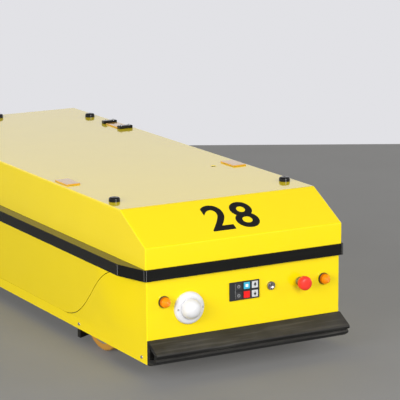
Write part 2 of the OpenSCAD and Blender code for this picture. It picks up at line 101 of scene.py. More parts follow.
class Bench:
    """Modelling moves that every sub-assembly uses.

    Attributes:
        MERGE: Distance within which a turned piece's points are one.
        NODE_MERGE: Distance within which a CAD node's points are one.
        NODE_FLAT: Angle in degrees up to which a CAD node's faces count as flat.
        SMOOTH: Angle in degrees below which edges are shaded smooth.
        SHARP: Angle in degrees above which an edge is bevelled.
        FACING: Share of a normal from which a face counts as facing that way.
        ROUND_FACES: Number of faces across a rounded edge.
        START: Side of the square that a turned piece starts from.
    """

    MERGE = 1e-6
    NODE_MERGE = 2e-6
    NODE_FLAT = 0.3
    SMOOTH = 35.0
    SHARP = 30.0
    FACING = 0.9
    ROUND_FACES = 4
    START = 0.01

    @staticmethod
    def clear() -> None:
        """Leaves edit mode and deselects every object."""
        if bpy.context.mode != "OBJECT":
            bpy.ops.object.mode_set(mode="OBJECT")
        bpy.ops.object.select_all(action="DESELECT")

    @staticmethod
    def take(obj: Object) -> None:
        """Selects one object alone and makes it the active one.

        Args:
            obj: The object.
        """
        Bench.clear()
        obj.select_set(True)
        bpy.context.view_layer.objects.active = obj

    @staticmethod
    def settle(obj: Object) -> Object:
        """Moves an object's place, turn and size into its mesh.

        Args:
            obj: The object.

        Returns:
            The same object.
        """
        Bench.take(obj)
        bpy.ops.object.transform_apply(location=True, rotation=True, scale=True)
        return obj

    @staticmethod
    @contextmanager
    def editing(obj: Object, pick: Pick) -> Iterator[None]:
        """Opens an object in edit mode for as long as the block runs.

        Args:
            obj: The object to edit.
            pick: The kind of element that the operators act on.
        """
        Bench.take(obj)
        bpy.context.tool_settings.mesh_select_mode = pick.value
        bpy.ops.object.mode_set(mode="EDIT")
        yield
        bpy.ops.object.mode_set(mode="OBJECT")

    @staticmethod
    def unpick(obj: Object) -> None:
        """Deselects every point, edge and face of a mesh."""
        for elements in (obj.data.vertices, obj.data.edges, obj.data.polygons):
            elements.foreach_set("select", [False] * len(elements))

    @staticmethod
    def pick_faces(obj: Object, test: Callable[[Vector, Vector], bool]) -> None:
        """Selects the faces whose centre and normal pass a test.

        Args:
            obj: The object, in object mode.
            test: Takes a face's centre and normal.
        """
        Bench.unpick(obj)
        for face in obj.data.polygons:
            face.select = test(face.center, face.normal)

    @staticmethod
    def pick_points(obj: Object, test: Callable[[Vector], bool]) -> None:
        """Selects the points whose place passes a test.

        Args:
            obj: The object, in object mode.
            test: Takes a point's place.
        """
        Bench.unpick(obj)
        for point in obj.data.vertices:
            point.select = test(point.co)

    @staticmethod
    def pick_edges(obj: Object, test: Callable[[Vector, Vector], bool]) -> None:
        """Selects the edges whose two ends pass a test.

        Args:
            obj: The object, in object mode.
            test: Takes the places of an edge's ends.
        """
        Bench.unpick(obj)
        points = obj.data.vertices
        for edge in obj.data.edges:
            edge.select = test(*(points[i].co for i in edge.vertices))

    @staticmethod
    def round_edges(obj: Object, test: Callable[[Vector, Vector], bool], width: float) -> Object:
        """Rounds the edges whose two ends pass a test.

        Args:
            obj: The object to round.
            test: Takes the places of an edge's ends.
            width: Width of the rounding in metres.

        Returns:
            The same object.
        """
        Bench.pick_edges(obj, test)
        with Bench.editing(obj, Pick.EDGES):
            bpy.ops.mesh.bevel(offset=width, segments=Bench.ROUND_FACES, affect="EDGES")
        return obj

    @staticmethod
    def modify(obj: Object, kind: str, **settings: object) -> Object:
        """Adds a modifier, sets it and applies it.

        Args:
            obj: The object to change.
            kind: Blender's name of the modifier type.
            settings: The modifier's own values.

        Returns:
            The same object.
        """
        Bench.take(obj)
        modifier = obj.modifiers.new(kind.title(), kind)
        for key, value in settings.items():
            setattr(modifier, key, value)
        bpy.ops.object.modifier_apply(modifier=modifier.name)
        return obj

    @staticmethod
    def bevel(obj: Object, width: float, segments: int) -> Object:
        """Rounds every sharp edge.

        Args:
            obj: The object to round.
            width: Width of the rounding in metres.
            segments: Number of faces across it.

        Returns:
            The same object.
        """
        return Bench.modify(
            obj, "BEVEL", width=width, segments=segments, limit_method="ANGLE",
            angle_limit=math.radians(Bench.SHARP), miter_outer="MITER_ARC",
        )

    @staticmethod
    def cut(obj: Object, cutter: Object) -> Object:
        """Subtracts one object from another and removes the cutter.

        Args:
            obj: The object that stays.
            cutter: The object that is taken away from it.

        Returns:
            The object that stays.
        """
        Bench.modify(obj, "BOOLEAN", operation="DIFFERENCE", solver="EXACT", object=cutter)
        bpy.data.objects.remove(cutter, do_unlink=True)
        return obj

    @staticmethod
    def smooth(obj: Object) -> Object:
        """Shades an object smooth over its soft edges and keeps its flat faces flat.

        Args:
            obj: The object.

        Returns:
            The same object.
        """
        Bench.take(obj)
        bpy.ops.object.shade_smooth_by_angle(angle=math.radians(Bench.SMOOTH))
        return Bench.modify(obj, "WEIGHTED_NORMAL", keep_sharp=True)

    @staticmethod
    def box(name: str, low: Place, high: Place) -> Object:
        """Adds a block between two corners.

        Args:
            name: The object's name.
            low: Its lowest corner.
            high: Its highest corner.

        Returns:
            The new object.
        """
        Bench.clear()
        low, high = Vector(low), Vector(high)
        bpy.ops.mesh.primitive_cube_add(size=1.0, location=(low + high) / 2)
        obj = bpy.context.object
        obj.name = name
        obj.scale = high - low
        return Bench.settle(obj)

    @staticmethod
    def scaled(profile: Profile, radius: float, height: float) -> list[Pair]:
        """Gives a unit outline its radius and height."""
        return [(radius * r, height * z) for r, z in profile]

    @staticmethod
    def lathe(name: str, profile: Profile, steps: int = 48) -> Object:
        """Spins a profile round Z.

        A point is drawn out along the profile and the line is then spun.

        Args:
            name: The object's name.
            profile: Radius and height of each point in turn.
            steps: Number of faces round the axis.

        Returns:
            The new object, with its axis on Z.
        """
        Bench.clear()
        radius, height = profile[0]
        bpy.ops.mesh.primitive_plane_add(size=Bench.START, location=(0, 0, 0))
        obj = bpy.context.object
        obj.name = name
        with Bench.editing(obj, Pick.POINTS):
            bpy.ops.mesh.select_all(action="SELECT")
            bpy.ops.mesh.merge(type="CENTER")
            bpy.ops.transform.translate(value=(radius, 0, height))
            for (r0, z0), (r1, z1) in zip(profile, profile[1:]):
                bpy.ops.mesh.extrude_vertices_move(
                    TRANSFORM_OT_translate={"value": (r1 - r0, 0, z1 - z0)}
                )
            bpy.ops.mesh.select_all(action="SELECT")
            bpy.ops.mesh.spin(
                steps=steps, angle=math.tau, center=(0, 0, 0), axis=(0, 0, 1), dupli=False
            )
            bpy.ops.mesh.select_all(action="SELECT")
            bpy.ops.mesh.remove_doubles(threshold=Bench.MERGE)
            bpy.ops.mesh.normals_make_consistent(inside=False)
        return obj

    @staticmethod
    def stand(obj: Object, place: Place, axis: Place) -> Object:
        """Turns an object's Z axis to a direction and moves it to a place.

        Args:
            obj: The object, made round the origin.
            place: Where its origin goes.
            axis: Where its Z axis points.

        Returns:
            The same object, with its place in its mesh.
        """
        obj.rotation_mode = "QUATERNION"
        obj.rotation_quaternion = UP.rotation_difference(Vector(axis))
        obj.location = place
        return Bench.settle(obj)

    @staticmethod
    def axes(x: Vector, y: Vector, z: Vector, place: Place) -> Matrix:
        """Gives the matrix that turns to three axes and moves to a place.

        Args:
            x: Where X points.
            y: Where Y points.
            z: Where Z points.
            place: Where the origin goes.

        Returns:
            The matrix.
        """
        matrix = Matrix((x, y, z)).transposed().to_4x4()
        matrix.translation = place
        return matrix

    @staticmethod
    def turn(obj: Object, matrix: Matrix) -> Object:
        """Moves an object by a matrix and keeps the result in its mesh."""
        obj.matrix_world = matrix @ obj.matrix_world
        return Bench.settle(obj)

    @staticmethod
    def copy(obj: Object, name: str, offset: Place) -> Object:
        """Copies an object with a mesh of its own.

        Args:
            obj: The object to copy.
            name: The copy's name.
            offset: How far the copy lies from it.

        Returns:
            The copy.
        """
        twin = obj.copy()
        twin.data = obj.data.copy()
        twin.name = name
        bpy.context.collection.objects.link(twin)
        twin.location = Vector(twin.location) + Vector(offset)
        return Bench.settle(twin)

    @staticmethod
    def from_node(node: str, name: str) -> Object:
        """Copies a CAD node's mesh and joins its loose triangles into clean faces.

        Args:
            node: The node's name.
            name: The copy's name.

        Returns:
            The copy.
        """
        obj = bpy.data.objects.new(name, FRAME["nodes"][node].data.copy())
        bpy.context.collection.objects.link(obj)
        with Bench.editing(obj, Pick.POINTS):
            bpy.ops.mesh.select_all(action="SELECT")
            bpy.ops.mesh.remove_doubles(threshold=Bench.NODE_MERGE)
            bpy.ops.mesh.dissolve_limited(angle_limit=math.radians(Bench.NODE_FLAT))
        return obj

    @staticmethod
    def join(name: str, parts: Sequence[Object]) -> Object:
        """Joins several objects in one.

        Args:
            name: The joined object's name.
            parts: The objects, of which the first takes the others in.

        Returns:
            The joined object.
        """
        Bench.take(parts[0])
        for part in parts:
            part.select_set(True)
        bpy.ops.object.join()
        parts[0].name = name
        return parts[0]


class Nodes:
    """Shader-node moves that the paint shop and the studio share.

    Attributes:
        UNDER: Number of a colour mix's first colour input.
        OVER: Number of its second colour input.
        BLEND: Number of its colour output.
    """

    UNDER, OVER, BLEND = 6, 7, 2

    @staticmethod
    def wire(tree: Tree, node: Node, values: dict[str | int, object]) -> Node:
        """Feeds a node's inputs.

        Args:
            tree: The node's tree.
            node: The node.
            values: A socket, a number or a colour for each input, by its name or number.

        Returns:
            The same node.
        """
        for name, value in values.items():
            socket = node.inputs[name]
            if isinstance(value, Socket):
                tree.links.new(value, socket)
            elif isinstance(value, tuple):
                socket.default_value = (*value, 1.0)
            else:
                socket.default_value = value
        return node

    @staticmethod
    def add(tree: Tree, kind: str, values: dict[str | int, object]) -> Node:
        """Adds a node of a kind and feeds its inputs."""
        return Nodes.wire(tree, tree.nodes.new(kind), values)

    @staticmethod
    def math(tree: Tree, operation: str, a: object, b: object, clamp: bool = False) -> Socket:
        """Adds a math node.

        Args:
            tree: The node tree.
            operation: Blender's name of the operation.
            a: A socket or a number.
            b: A socket or a number.
            clamp: Whether the result stays between 0 and 1.

        Returns:
            The result's socket.
        """
        node = Nodes.add(tree, "ShaderNodeMath", {0: a, 1: b})
        node.operation = operation
        node.use_clamp = clamp
        return node.outputs[0]

    @staticmethod
    def noise(tree: Tree, vector: Socket, scale: object, detail: float) -> Socket:
        """Adds a noise texture.

        Args:
            tree: The node tree.
            vector: Where the texture is read.
            scale: A socket or a number.
            detail: Number of octaves.

        Returns:
            The noise value's socket.
        """
        values = {"Vector": vector, "Scale": scale, "Detail": detail}
        return Nodes.add(tree, "ShaderNodeTexNoise", values).outputs["Fac"]

    @staticmethod
    def height_of(tree: Tree, vector: Socket) -> Socket:
        """Gives the Z share of a vector."""
        return Nodes.add(tree, "ShaderNodeSeparateXYZ", {0: vector}).outputs["Z"]

    @staticmethod
    def blend(tree: Tree, mask: Socket, under: Socket, over: Socket) -> Socket:
        """Lays one colour over another.

        Args:
            tree: The node tree.
            mask: Share of the upper colour.
            under: The lower colour.
            over: The upper colour.

        Returns:
            The blended colour's socket.
        """
        mix = tree.nodes.new("ShaderNodeMix")
        mix.data_type = "RGBA"
        Nodes.wire(tree, mix, {"Factor": mask, Nodes.UNDER: under, Nodes.OVER: over})
        return mix.outputs[Nodes.BLEND]


@dataclass(frozen=True)
class Finish:
    """One surface: its record slot, colour, gloss and small-scale detail.

    Attributes:
        slot: The record's material slot.
        colour: Linear base colour.
        roughness: Mean roughness.
        metallic: 1 for bare metal.
        coat: Weight of the clear coat.
        gleam: Specular level under the coat.
        spread: How far the roughness varies.
        grain_scale: Size of the surface grain, in cells a metre.
        grain_depth: Depth of the grain in metres.
        mottle: Share by which the colour varies.
        dust: Share of floor dust on low faces that look up.
        scuff: Share of rubbed streaks.
        scuff_colour: Colour of the streaks.
        painted_glow: Strength of emitted light, a painted glow for lenses lit by the day.
    """

    slot: str
    colour: Colour
    roughness: float
    metallic: float = 0.0
    coat: float = 0.0
    gleam: float = 0.5
    spread: float = 0.08
    grain_scale: float = 900.0
    grain_depth: float = 0.00002
    mottle: float = 0.04
    dust: float = 0.0
    scuff: float = 0.0
    scuff_colour: Colour = (0.5, 0.5, 0.5)
    painted_glow: float = 0.0


class Finishes(Enum):
    """Every finish on the vehicle."""

    YELLOW = Finish(
        "yellow_paint", (0.95, 0.728, 0.002), 0.16, coat=1.0, gleam=0.12, spread=0.05,
        grain_scale=420.0, grain_depth=0.000004, mottle=0.02, dust=0.05, scuff=0.012,
        scuff_colour=(0.55, 0.38, 0.03),
    )
    # A copy of the yellow for the side panels: its darker colour is painted shade, and its
    # thinner coat shows less reflection.
    YELLOW_SIDE_SHADED = replace(YELLOW, colour=(0.884, 0.677, 0.002), coat=0.3)
    STRIP = Finish(
        "black_rubber", (0.0045, 0.0045, 0.0038), 0.26, gleam=0.3, grain_scale=1400.0,
        mottle=0.12, scuff=0.10, scuff_colour=(0.03, 0.029, 0.025),
    )
    # The pale grey of the strip's bends is a painted highlight.
    STRIP_BEND_HIGHLIGHT = Finish(
        "black_rubber", (0.15, 0.15, 0.145), 0.38, gleam=0.4, grain_scale=1400.0, mottle=0.30,
    )
    RUBBER = Finish(
        "black_rubber", (0.0102, 0.0100, 0.0092), 0.50, gleam=0.25, grain_scale=1200.0,
        grain_depth=0.00003, mottle=0.18, dust=0.45, scuff=0.40,
        scuff_colour=(0.075, 0.072, 0.063),
    )
    GLOSS_BLACK = Finish(
        "black_plastic", (0.006, 0.006, 0.006), 0.12, gleam=0.35, grain_depth=0.000004,
        mottle=0.05,
    )
    SATIN_BLACK = Finish("black_plastic", (0.018, 0.019, 0.021), 0.38, mottle=0.08)
    STEEL = Finish(
        "dark_steel", (0.055, 0.058, 0.062), 0.45, metallic=0.2, grain_scale=700.0, mottle=0.15,
        dust=0.30, scuff=0.12, scuff_colour=(0.16, 0.16, 0.16),
    )
    METAL = Finish(
        "light_metal", (0.55, 0.56, 0.58), 0.34, metallic=0.9, grain_scale=1500.0, mottle=0.08,
        dust=0.12, scuff=0.10, scuff_colour=(0.36, 0.36, 0.36),
    )
    SCREW = Finish("light_metal", (0.72, 0.72, 0.72), 0.22, metallic=1.0, mottle=0.05)
    COLLAR = Finish("light_metal", (0.44, 0.42, 0.38), 0.18, metallic=1.0, mottle=0.05)
    TYRE = Finish(
        "tyre_polyurethane", (0.505, 0.239, 0.030), 0.40, grain_scale=600.0, mottle=0.14,
        dust=0.20, scuff=0.15, scuff_colour=(0.36, 0.17, 0.04),
    )
    BATTERY = Finish("battery_case", (0.035, 0.036, 0.04), 0.55, mottle=0.10, dust=0.2)
    PAD = Finish(
        "orange_pad", (0.70, 0.36, 0.03), 0.14, coat=1.0, mottle=0.08, scuff=0.05,
        scuff_colour=(0.7, 0.4, 0.2),
    )
    RED = Finish("red_plastic", (0.86, 0.046, 0.028), 0.34, gleam=0.4)
    AMBER = Finish(
        "amber_lens", (0.90, 0.235, 0.002), 0.09, coat=0.35, gleam=0.3, mottle=0.03, painted_glow=0.15,
    )
    # A darker amber for the lens skirts: painted shade at the rim of each lens.
    AMBER_SHADED = Finish(
        "amber_lens", (0.55, 0.125, 0.001), 0.14, coat=0.2, gleam=0.3, painted_glow=0.05,
    )
    WHITE = Finish("white_plastic", (0.75, 0.75, 0.76), 0.30, coat=0.2, mottle=0.02)
    KEY_GREY = Finish("key_caps", (0.60, 0.61, 0.62), 0.40)
    KEY_BLUE = Finish("key_caps", (0.04, 0.45, 0.66), 0.34, mottle=0.05)
    KEY_RED = Finish("key_caps", (0.85, 0.012, 0.010), 0.34, mottle=0.05)
    KEY_DARK = Finish("key_caps", (0.030, 0.030, 0.032), 0.42, mottle=0.06)
    MARK_WHITE = Finish("key_caps", (0.88, 0.90, 0.92), 0.45, mottle=0.02)
    MARK_GREY = Finish("key_caps", (0.34, 0.34, 0.34), 0.5, mottle=0.03)
    MARK_BLACK = Finish("black_plastic", (0.006, 0.006, 0.006), 0.35, gleam=0.35)
    CHROME = Finish("chrome", (0.52, 0.49, 0.48), 0.16, metallic=1.0, mottle=0.02)


class Paintshop:
    """Builds the shared node groups once and one material for each finish.

    Attributes:
        dust_colour: Linear colour of floor dust.
        dust_top: Height up to which dust lies.
        dust_patch: Scale and detail of the dust's patches.
        grain_detail: Detail of the fine grain.
        broad_patch: Scale and detail of the uneven gloss and colour.
        streak_stretch: Scale of the streaks along X, Y and Z.
        streak_detail: Detail of the streaks.
        streak_level: Noise value at which a streak begins.
        streak_gain: How sharply it begins.
        coat_roughness: Roughness of every clear coat.
        socket_kinds: Types of the groups' sockets that aren't plain numbers.
    """

    dust_colour: Colour = (0.30, 0.28, 0.25)
    dust_top: float = 0.16
    dust_patch: Pair = (14.0, 5.0)
    grain_detail: float = 2.0
    broad_patch: Pair = (9.0, 4.0)
    streak_stretch: tuple[float, float, float] = (6.0, 6.0, 260.0)
    streak_detail: float = 6.0
    streak_level: float = 0.52
    streak_gain: float = 7.0
    coat_roughness: float = 0.03
    socket_kinds: dict[str, str] = {
        **dict.fromkeys(("Vector", "Normal"), "NodeSocketVector"),
        **dict.fromkeys(("Color", "Dust", "Streak"), "NodeSocketColor"),
    }

    def __init__(self) -> None:
        """Builds the groups for grain, dust and scuffs."""
        self._made: dict[Finishes, bpy.types.Material] = {}
        self.grain = self._grain_group()
        self.dust = self._dust_group()
        self.scuff = self._scuff_group()

    def _group(
        self, name: str, inputs: Sequence[str], outputs: Sequence[str]
    ) -> tuple[Tree, bpy.types.NodeOutputs, Node]:
        """Starts a shader group.

        Args:
            name: The group's name.
            inputs: Names of the sockets that go in.
            outputs: Names of the sockets that come out.

        Returns:
            The tree, the sockets that its nodes read and its output node.
        """
        tree = bpy.data.node_groups.new(name, "ShaderNodeTree")
        for direction, sockets in (("INPUT", inputs), ("OUTPUT", outputs)):
            for socket in sockets:
                kind = self.socket_kinds.get(socket, "NodeSocketFloat")
                tree.interface.new_socket(socket, in_out=direction, socket_type=kind)
        start = tree.nodes.new("NodeGroupInput")
        return tree, start.outputs, tree.nodes.new("NodeGroupOutput")

    def _grain_group(self) -> Tree:
        """Builds the group that gives fine relief, uneven gloss and uneven colour.

        Returns:
            The group.
        """
        tree, read, end = self._group(
            "surface_grain",
            ("Vector", "Color", "Scale", "Depth", "Roughness", "Spread", "Mottle"),
            ("Color", "Roughness", "Height"),
        )
        fine = Nodes.noise(tree, read["Vector"], read["Scale"], self.grain_detail)
        broad = Nodes.noise(tree, read["Vector"], *self.broad_patch)
        swing = Nodes.math(tree, "SUBTRACT", broad, 0.5)
        rough = Nodes.math(tree, "MULTIPLY", swing, read["Spread"])
        tone = Nodes.math(tree, "MULTIPLY", swing, read["Mottle"])
        value = Nodes.math(tree, "ADD", Nodes.math(tree, "MULTIPLY", tone, 2.0), 1.0)
        shade = Nodes.add(
            tree, "ShaderNodeHueSaturation", {"Value": value, "Color": read["Color"]}
        )
        Nodes.wire(tree, end, {
            "Color": shade.outputs["Color"],
            "Roughness": Nodes.math(tree, "ADD", rough, read["Roughness"], True),
            "Height": Nodes.math(tree, "MULTIPLY", fine, read["Depth"]),
        })
        return tree

    def _dust_group(self) -> Tree:
        """Builds the group that greys low faces where they look up.

        Returns:
            The group.
        """
        tree, read, end = self._group(
            "floor_dust",
            ("Vector", "Normal", "Color", "Dust", "Top", "Amount", "Roughness"),
            ("Color", "Roughness"),
        )
        rise = Nodes.math(tree, "DIVIDE", Nodes.height_of(tree, read["Vector"]), read["Top"])
        low = Nodes.math(tree, "SUBTRACT", 1.0, rise, True)
        noise = Nodes.noise(tree, read["Vector"], *self.dust_patch)
        patch = Nodes.math(tree, "MULTIPLY", noise, low)
        facing = Nodes.height_of(tree, read["Normal"])
        settled = Nodes.math(tree, "MULTIPLY", patch, facing, True)
        mask = Nodes.math(tree, "MULTIPLY", settled, read["Amount"], True)
        Nodes.wire(tree, end, {
            "Color": Nodes.blend(tree, mask, read["Color"], read["Dust"]),
            "Roughness": Nodes.math(tree, "ADD", read["Roughness"], mask, True),
        })
        return tree

    def _scuff_group(self) -> Tree:
        """Builds the group that draws rubbed streaks along the vehicle.

        Returns:
            The group.
        """
        tree, read, end = self._group(
            "rubbed_streaks", ("Vector", "Color", "Streak", "Amount"), ("Color",)
        )
        stretch = Nodes.add(tree, "ShaderNodeMapping", {"Vector": read["Vector"]})
        stretch.inputs["Scale"].default_value = self.streak_stretch
        streak = Nodes.noise(tree, stretch.outputs["Vector"], 1.0, self.streak_detail)
        above = Nodes.math(tree, "SUBTRACT", streak, self.streak_level)
        sharp = Nodes.math(tree, "MULTIPLY", above, self.streak_gain, True)
        mask = Nodes.math(tree, "MULTIPLY", sharp, read["Amount"], True)
        Nodes.wire(tree, end, {"Color": Nodes.blend(tree, mask, read["Color"], read["Streak"])})
        return tree

    @staticmethod
    def _place(tree: Tree, group: Tree, values: dict[str | int, object]) -> bpy.types.NodeOutputs:
        """Places a group in a material.

        Args:
            tree: The material's tree.
            group: The group.
            values: A socket, a number or a colour for each of its inputs.

        Returns:
            The group's outputs.
        """
        node = tree.nodes.new("ShaderNodeGroup")
        node.node_tree = group
        return Nodes.wire(tree, node, values).outputs

    def material(self, kind: Finishes) -> bpy.types.Material:
        """Gives a finish's material, which is built at its first use.

        Args:
            kind: The finish.

        Returns:
            The material.
        """
        if kind not in self._made:
            self._made[kind] = self._build(kind.name.lower(), kind.value)
        return self._made[kind]

    def _build(self, name: str, look: Finish) -> bpy.types.Material:
        """Builds a material from a finish.

        Args:
            name: The material's name.
            look: The finish.

        Returns:
            The material.
        """
        material = bpy.data.materials.new(name)
        material.use_nodes = True
        tree = material.node_tree
        where = tree.nodes.new("ShaderNodeTexCoord").outputs
        place = where["Object"]
        grain = self._place(tree, self.grain, {
            "Vector": place, "Color": look.colour, "Scale": look.grain_scale,
            "Depth": look.grain_depth, "Roughness": look.roughness, "Spread": look.spread,
            "Mottle": look.mottle,
        })
        colour, rough = grain["Color"], grain["Roughness"]
        if look.scuff:
            colour = self._place(tree, self.scuff, {
                "Vector": place, "Color": colour, "Streak": look.scuff_colour,
                "Amount": look.scuff,
            })["Color"]
        if look.dust:
            dust = self._place(tree, self.dust, {
                "Vector": place, "Normal": where["Normal"], "Color": colour,
                "Dust": self.dust_colour, "Top": self.dust_top, "Amount": look.dust,
                "Roughness": rough,
            })
            colour, rough = dust["Color"], dust["Roughness"]
        bump = Nodes.add(tree, "ShaderNodeBump", {
            "Strength": 1.0, "Distance": 1.0, "Height": grain["Height"],
        })
        shader = Nodes.wire(tree, tree.nodes["Principled BSDF"], {
            "Base Color": colour, "Roughness": rough, "Normal": bump.outputs["Normal"],
            "Metallic": look.metallic, "Specular IOR Level": look.gleam,
            "Coat Weight": look.coat, "Coat Roughness": self.coat_roughness,
        })
        # The emission is a painted glow of daylight through a lens.
        if look.painted_glow:
            Nodes.wire(tree, shader, {"Emission Color": colour, "Emission Strength": look.painted_glow})
        return material


@dataclass
class SubAssembly:
    """A group of pieces that are made and dressed together.

    Attributes:
        shop: Gives the materials.
        made: The pieces made so far.
        screw_head: Outline of a screw's head for a radius of 1.
        screw_steps: Number of faces round a screw's head.
        screw_radius: Radius of a screw's head.
    """

    shop: Paintshop
    made: list[Object] = field(default_factory=list)
    screw_head: Profile = (
        (0, 0.18), (0.45, 0.18), (0.45, 0.56), (0.62, 0.58), (0.84, 0.42), (0.97, 0.18), (1, 0),
        (0, 0),
    )
    screw_steps: int = 24
    screw_radius: float = 0.005

    def dress(
        self, obj: Object, kind: Finishes, body: str = CHASSIS, stands_for: Sequence[str] = ()
    ) -> Object:
        """Gives a piece its finish and sets it on its body.

        Args:
            obj: The finished mesh.
            kind: Its finish.
            body: The body that it rides on.
            stands_for: The CAD nodes that it replaces.

        Returns:
            The same object.
        """
        Bench.smooth(obj)
        obj.data.materials.clear()
        obj.data.materials.append(self.shop.material(kind))
        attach(obj, body)
        if stands_for:
            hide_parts(*stands_for)
        self.made.append(obj)
        return obj

    def soften(self, node: str, kind: Finishes, width: float, body: str = CHASSIS) -> Object:
        """Puts a copy with rounded edges in a CAD node's place.

        Args:
            node: The node.
            kind: The copy's finish.
            width: Width of the rounding in metres.
            body: The body that it rides on.

        Returns:
            The copy.
        """
        obj = Bench.bevel(Bench.from_node(node, f"{node}_soft"), width, segments=2)
        return self.dress(obj, kind, body, (node,))

    def screws(
        self, name: str, places: Sequence[Place], axis: Place, body: str = CHASSIS
    ) -> Object:
        """Sets button-head screws with a round recess, in one piece.

        Args:
            name: The piece's name.
            places: Middle of the face under each head.
            axis: The way that the heads point.
            body: The body that they ride on.

        Returns:
            The piece.
        """
        profile = Bench.scaled(self.screw_head, self.screw_radius, self.screw_radius)
        heads = [
            Bench.stand(Bench.lathe("screw", profile, self.screw_steps), place, axis)
            for place in places
        ]
        return self.dress(Bench.join(name, heads), Finishes.SCREW, body)

    def report(self) -> None:
        """Logs the pieces of this sub-assembly."""
        for obj in self.made:
            LOG.info("%s: %s, %d faces", type(self).__name__, obj.name, len(obj.data.polygons))


@dataclass
class NodeCoat(SubAssembly):
    """Gives each CAD node that stays in view the finish of its slot.

    Attributes:
        by_slot: The finish of each record slot.
        by_node: The finish of the nodes that differ from their slot.
    """

    by_slot: dict[str, Finishes] = field(default_factory=lambda: {
        kind.value.slot: kind for kind in (
            Finishes.YELLOW, Finishes.RUBBER, Finishes.SATIN_BLACK, Finishes.STEEL,
            Finishes.METAL, Finishes.TYRE, Finishes.BATTERY, Finishes.PAD, Finishes.RED,
            Finishes.AMBER, Finishes.WHITE, Finishes.KEY_GREY, Finishes.CHROME,
        )
    })
    by_node: dict[str, Finishes] = field(default_factory=lambda: {
        "foot_guards": Finishes.STRIP,
        # The rims are drawn gloss black, so that their ledge under the hood shows dark.
        **{f"rim_{way.word}": Finishes.GLOSS_BLACK for way in (*End, *Side)},
    })

    def build(self) -> None:
        """Assigns a material to every CAD node."""
        for part in FRAME["record"]["subparts"]:
            name = part["node"]
            kind = self.by_node.get(name, self.by_slot[part["material_slot"]])
            for slot in FRAME["nodes"][name].material_slots:
                slot.material = self.shop.material(kind)


@dataclass
class Hood(SubAssembly):
    """The folded yellow hood in one skin, with rounded folds and the deck's hole.

    Attributes:
        nodes: The CAD nodes that the skin stands for.
        fold_height: Height of the fold between skirt and slope.
        fold_radius: Radius of every fold.
        fold_angle: Least angle of a fold, in degrees.
        sheet: Thickness of the sheet.
        hole: Middle of the deck's hole.
        hole_radius: The hole's radius.
        hole_steps: Number of faces round the hole.
        hole_cut: Depth of the drill that cuts it.
        cup: Outline of the black cup under the hole, a grommet's lip with a closed bottom that is
            painted shade.
        cup_steps: Number of faces round the cup.
    """

    nodes: tuple[str, ...] = (
        "deck_plate", "hood_front", "hood_rear", "hood_side_right", "hood_side_left",
    )
    fold_height: float = 0.363
    fold_radius: float = 0.0035
    fold_angle: float = 15.0
    sheet: float = 0.003
    hole: Pair = (0.385, 0.207)
    hole_radius: float = 0.0088
    hole_steps: int = 40
    hole_cut: float = 0.03
    cup: Profile = (
        (0.0076, 0.0013), (0.0087, 0.0013), (0.0087, 0.0), (0.0100, 0.0), (0.0100, -0.030),
        (0, -0.030), (0, -0.028), (0.0076, -0.028), (0.0076, 0.0013),
    )
    cup_steps: int = 32

    def build(self) -> None:
        """Makes the skin, cuts the deck's hole and lines it."""
        skin = self._skin()
        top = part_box("deck_plate")[1].z
        Bench.clear()
        bpy.ops.mesh.primitive_cylinder_add(
            vertices=self.hole_steps, radius=self.hole_radius, depth=self.hole_cut,
            location=(*self.hole, top),
        )
        Bench.cut(skin, bpy.context.object)
        self.dress(skin, Finishes.YELLOW, stands_for=self.nodes)
        # The cup's lip is a grommet; its closed black bottom is painted shade in the hole.
        cup = Bench.lathe("deck_hole_cup", self.cup, self.cup_steps)
        self.dress(Bench.stand(cup, (*self.hole, top - self.sheet), UP), Finishes.MARK_BLACK)

    def _skin(self) -> Object:
        """Makes the folded sheet from a block whose ends are drawn out and sloped.

        Returns:
            The sheet, with its thickness.
        """
        deck_low, deck_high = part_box("deck_plate")
        end_low, end_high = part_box("hood_front")
        run = end_high.x - deck_high.x
        drop = deck_high.z - self.fold_height
        tip = end_high.x - run / 2
        skin = Bench.box("hood_skin", (deck_low.x, deck_low.y, end_low.z), deck_high)
        for end in End:
            Bench.pick_faces(skin, lambda c, n: n.x * end.value > Bench.FACING)
            with Bench.editing(skin, Pick.FACES):
                bpy.ops.mesh.extrude_region_move(
                    TRANSFORM_OT_translate={"value": (end.value * run, 0, 0)}
                )
            Bench.pick_points(skin, lambda p: p.x * end.value > tip and p.z > self.fold_height)
            with Bench.editing(skin, Pick.POINTS):
                bpy.ops.transform.translate(value=(0, 0, -drop))
        Bench.pick_faces(skin, lambda c, n: n.z < -Bench.FACING)
        with Bench.editing(skin, Pick.FACES):
            bpy.ops.mesh.delete(type="FACE")
            bpy.ops.mesh.select_mode(type="EDGE")
            bpy.ops.mesh.edges_select_sharp(sharpness=math.radians(self.fold_angle))
            bpy.ops.mesh.bevel(
                offset=self.fold_radius, segments=Bench.ROUND_FACES, affect="EDGES"
            )
        return Bench.modify(skin, "SOLIDIFY", thickness=self.sheet, offset=-1.0)


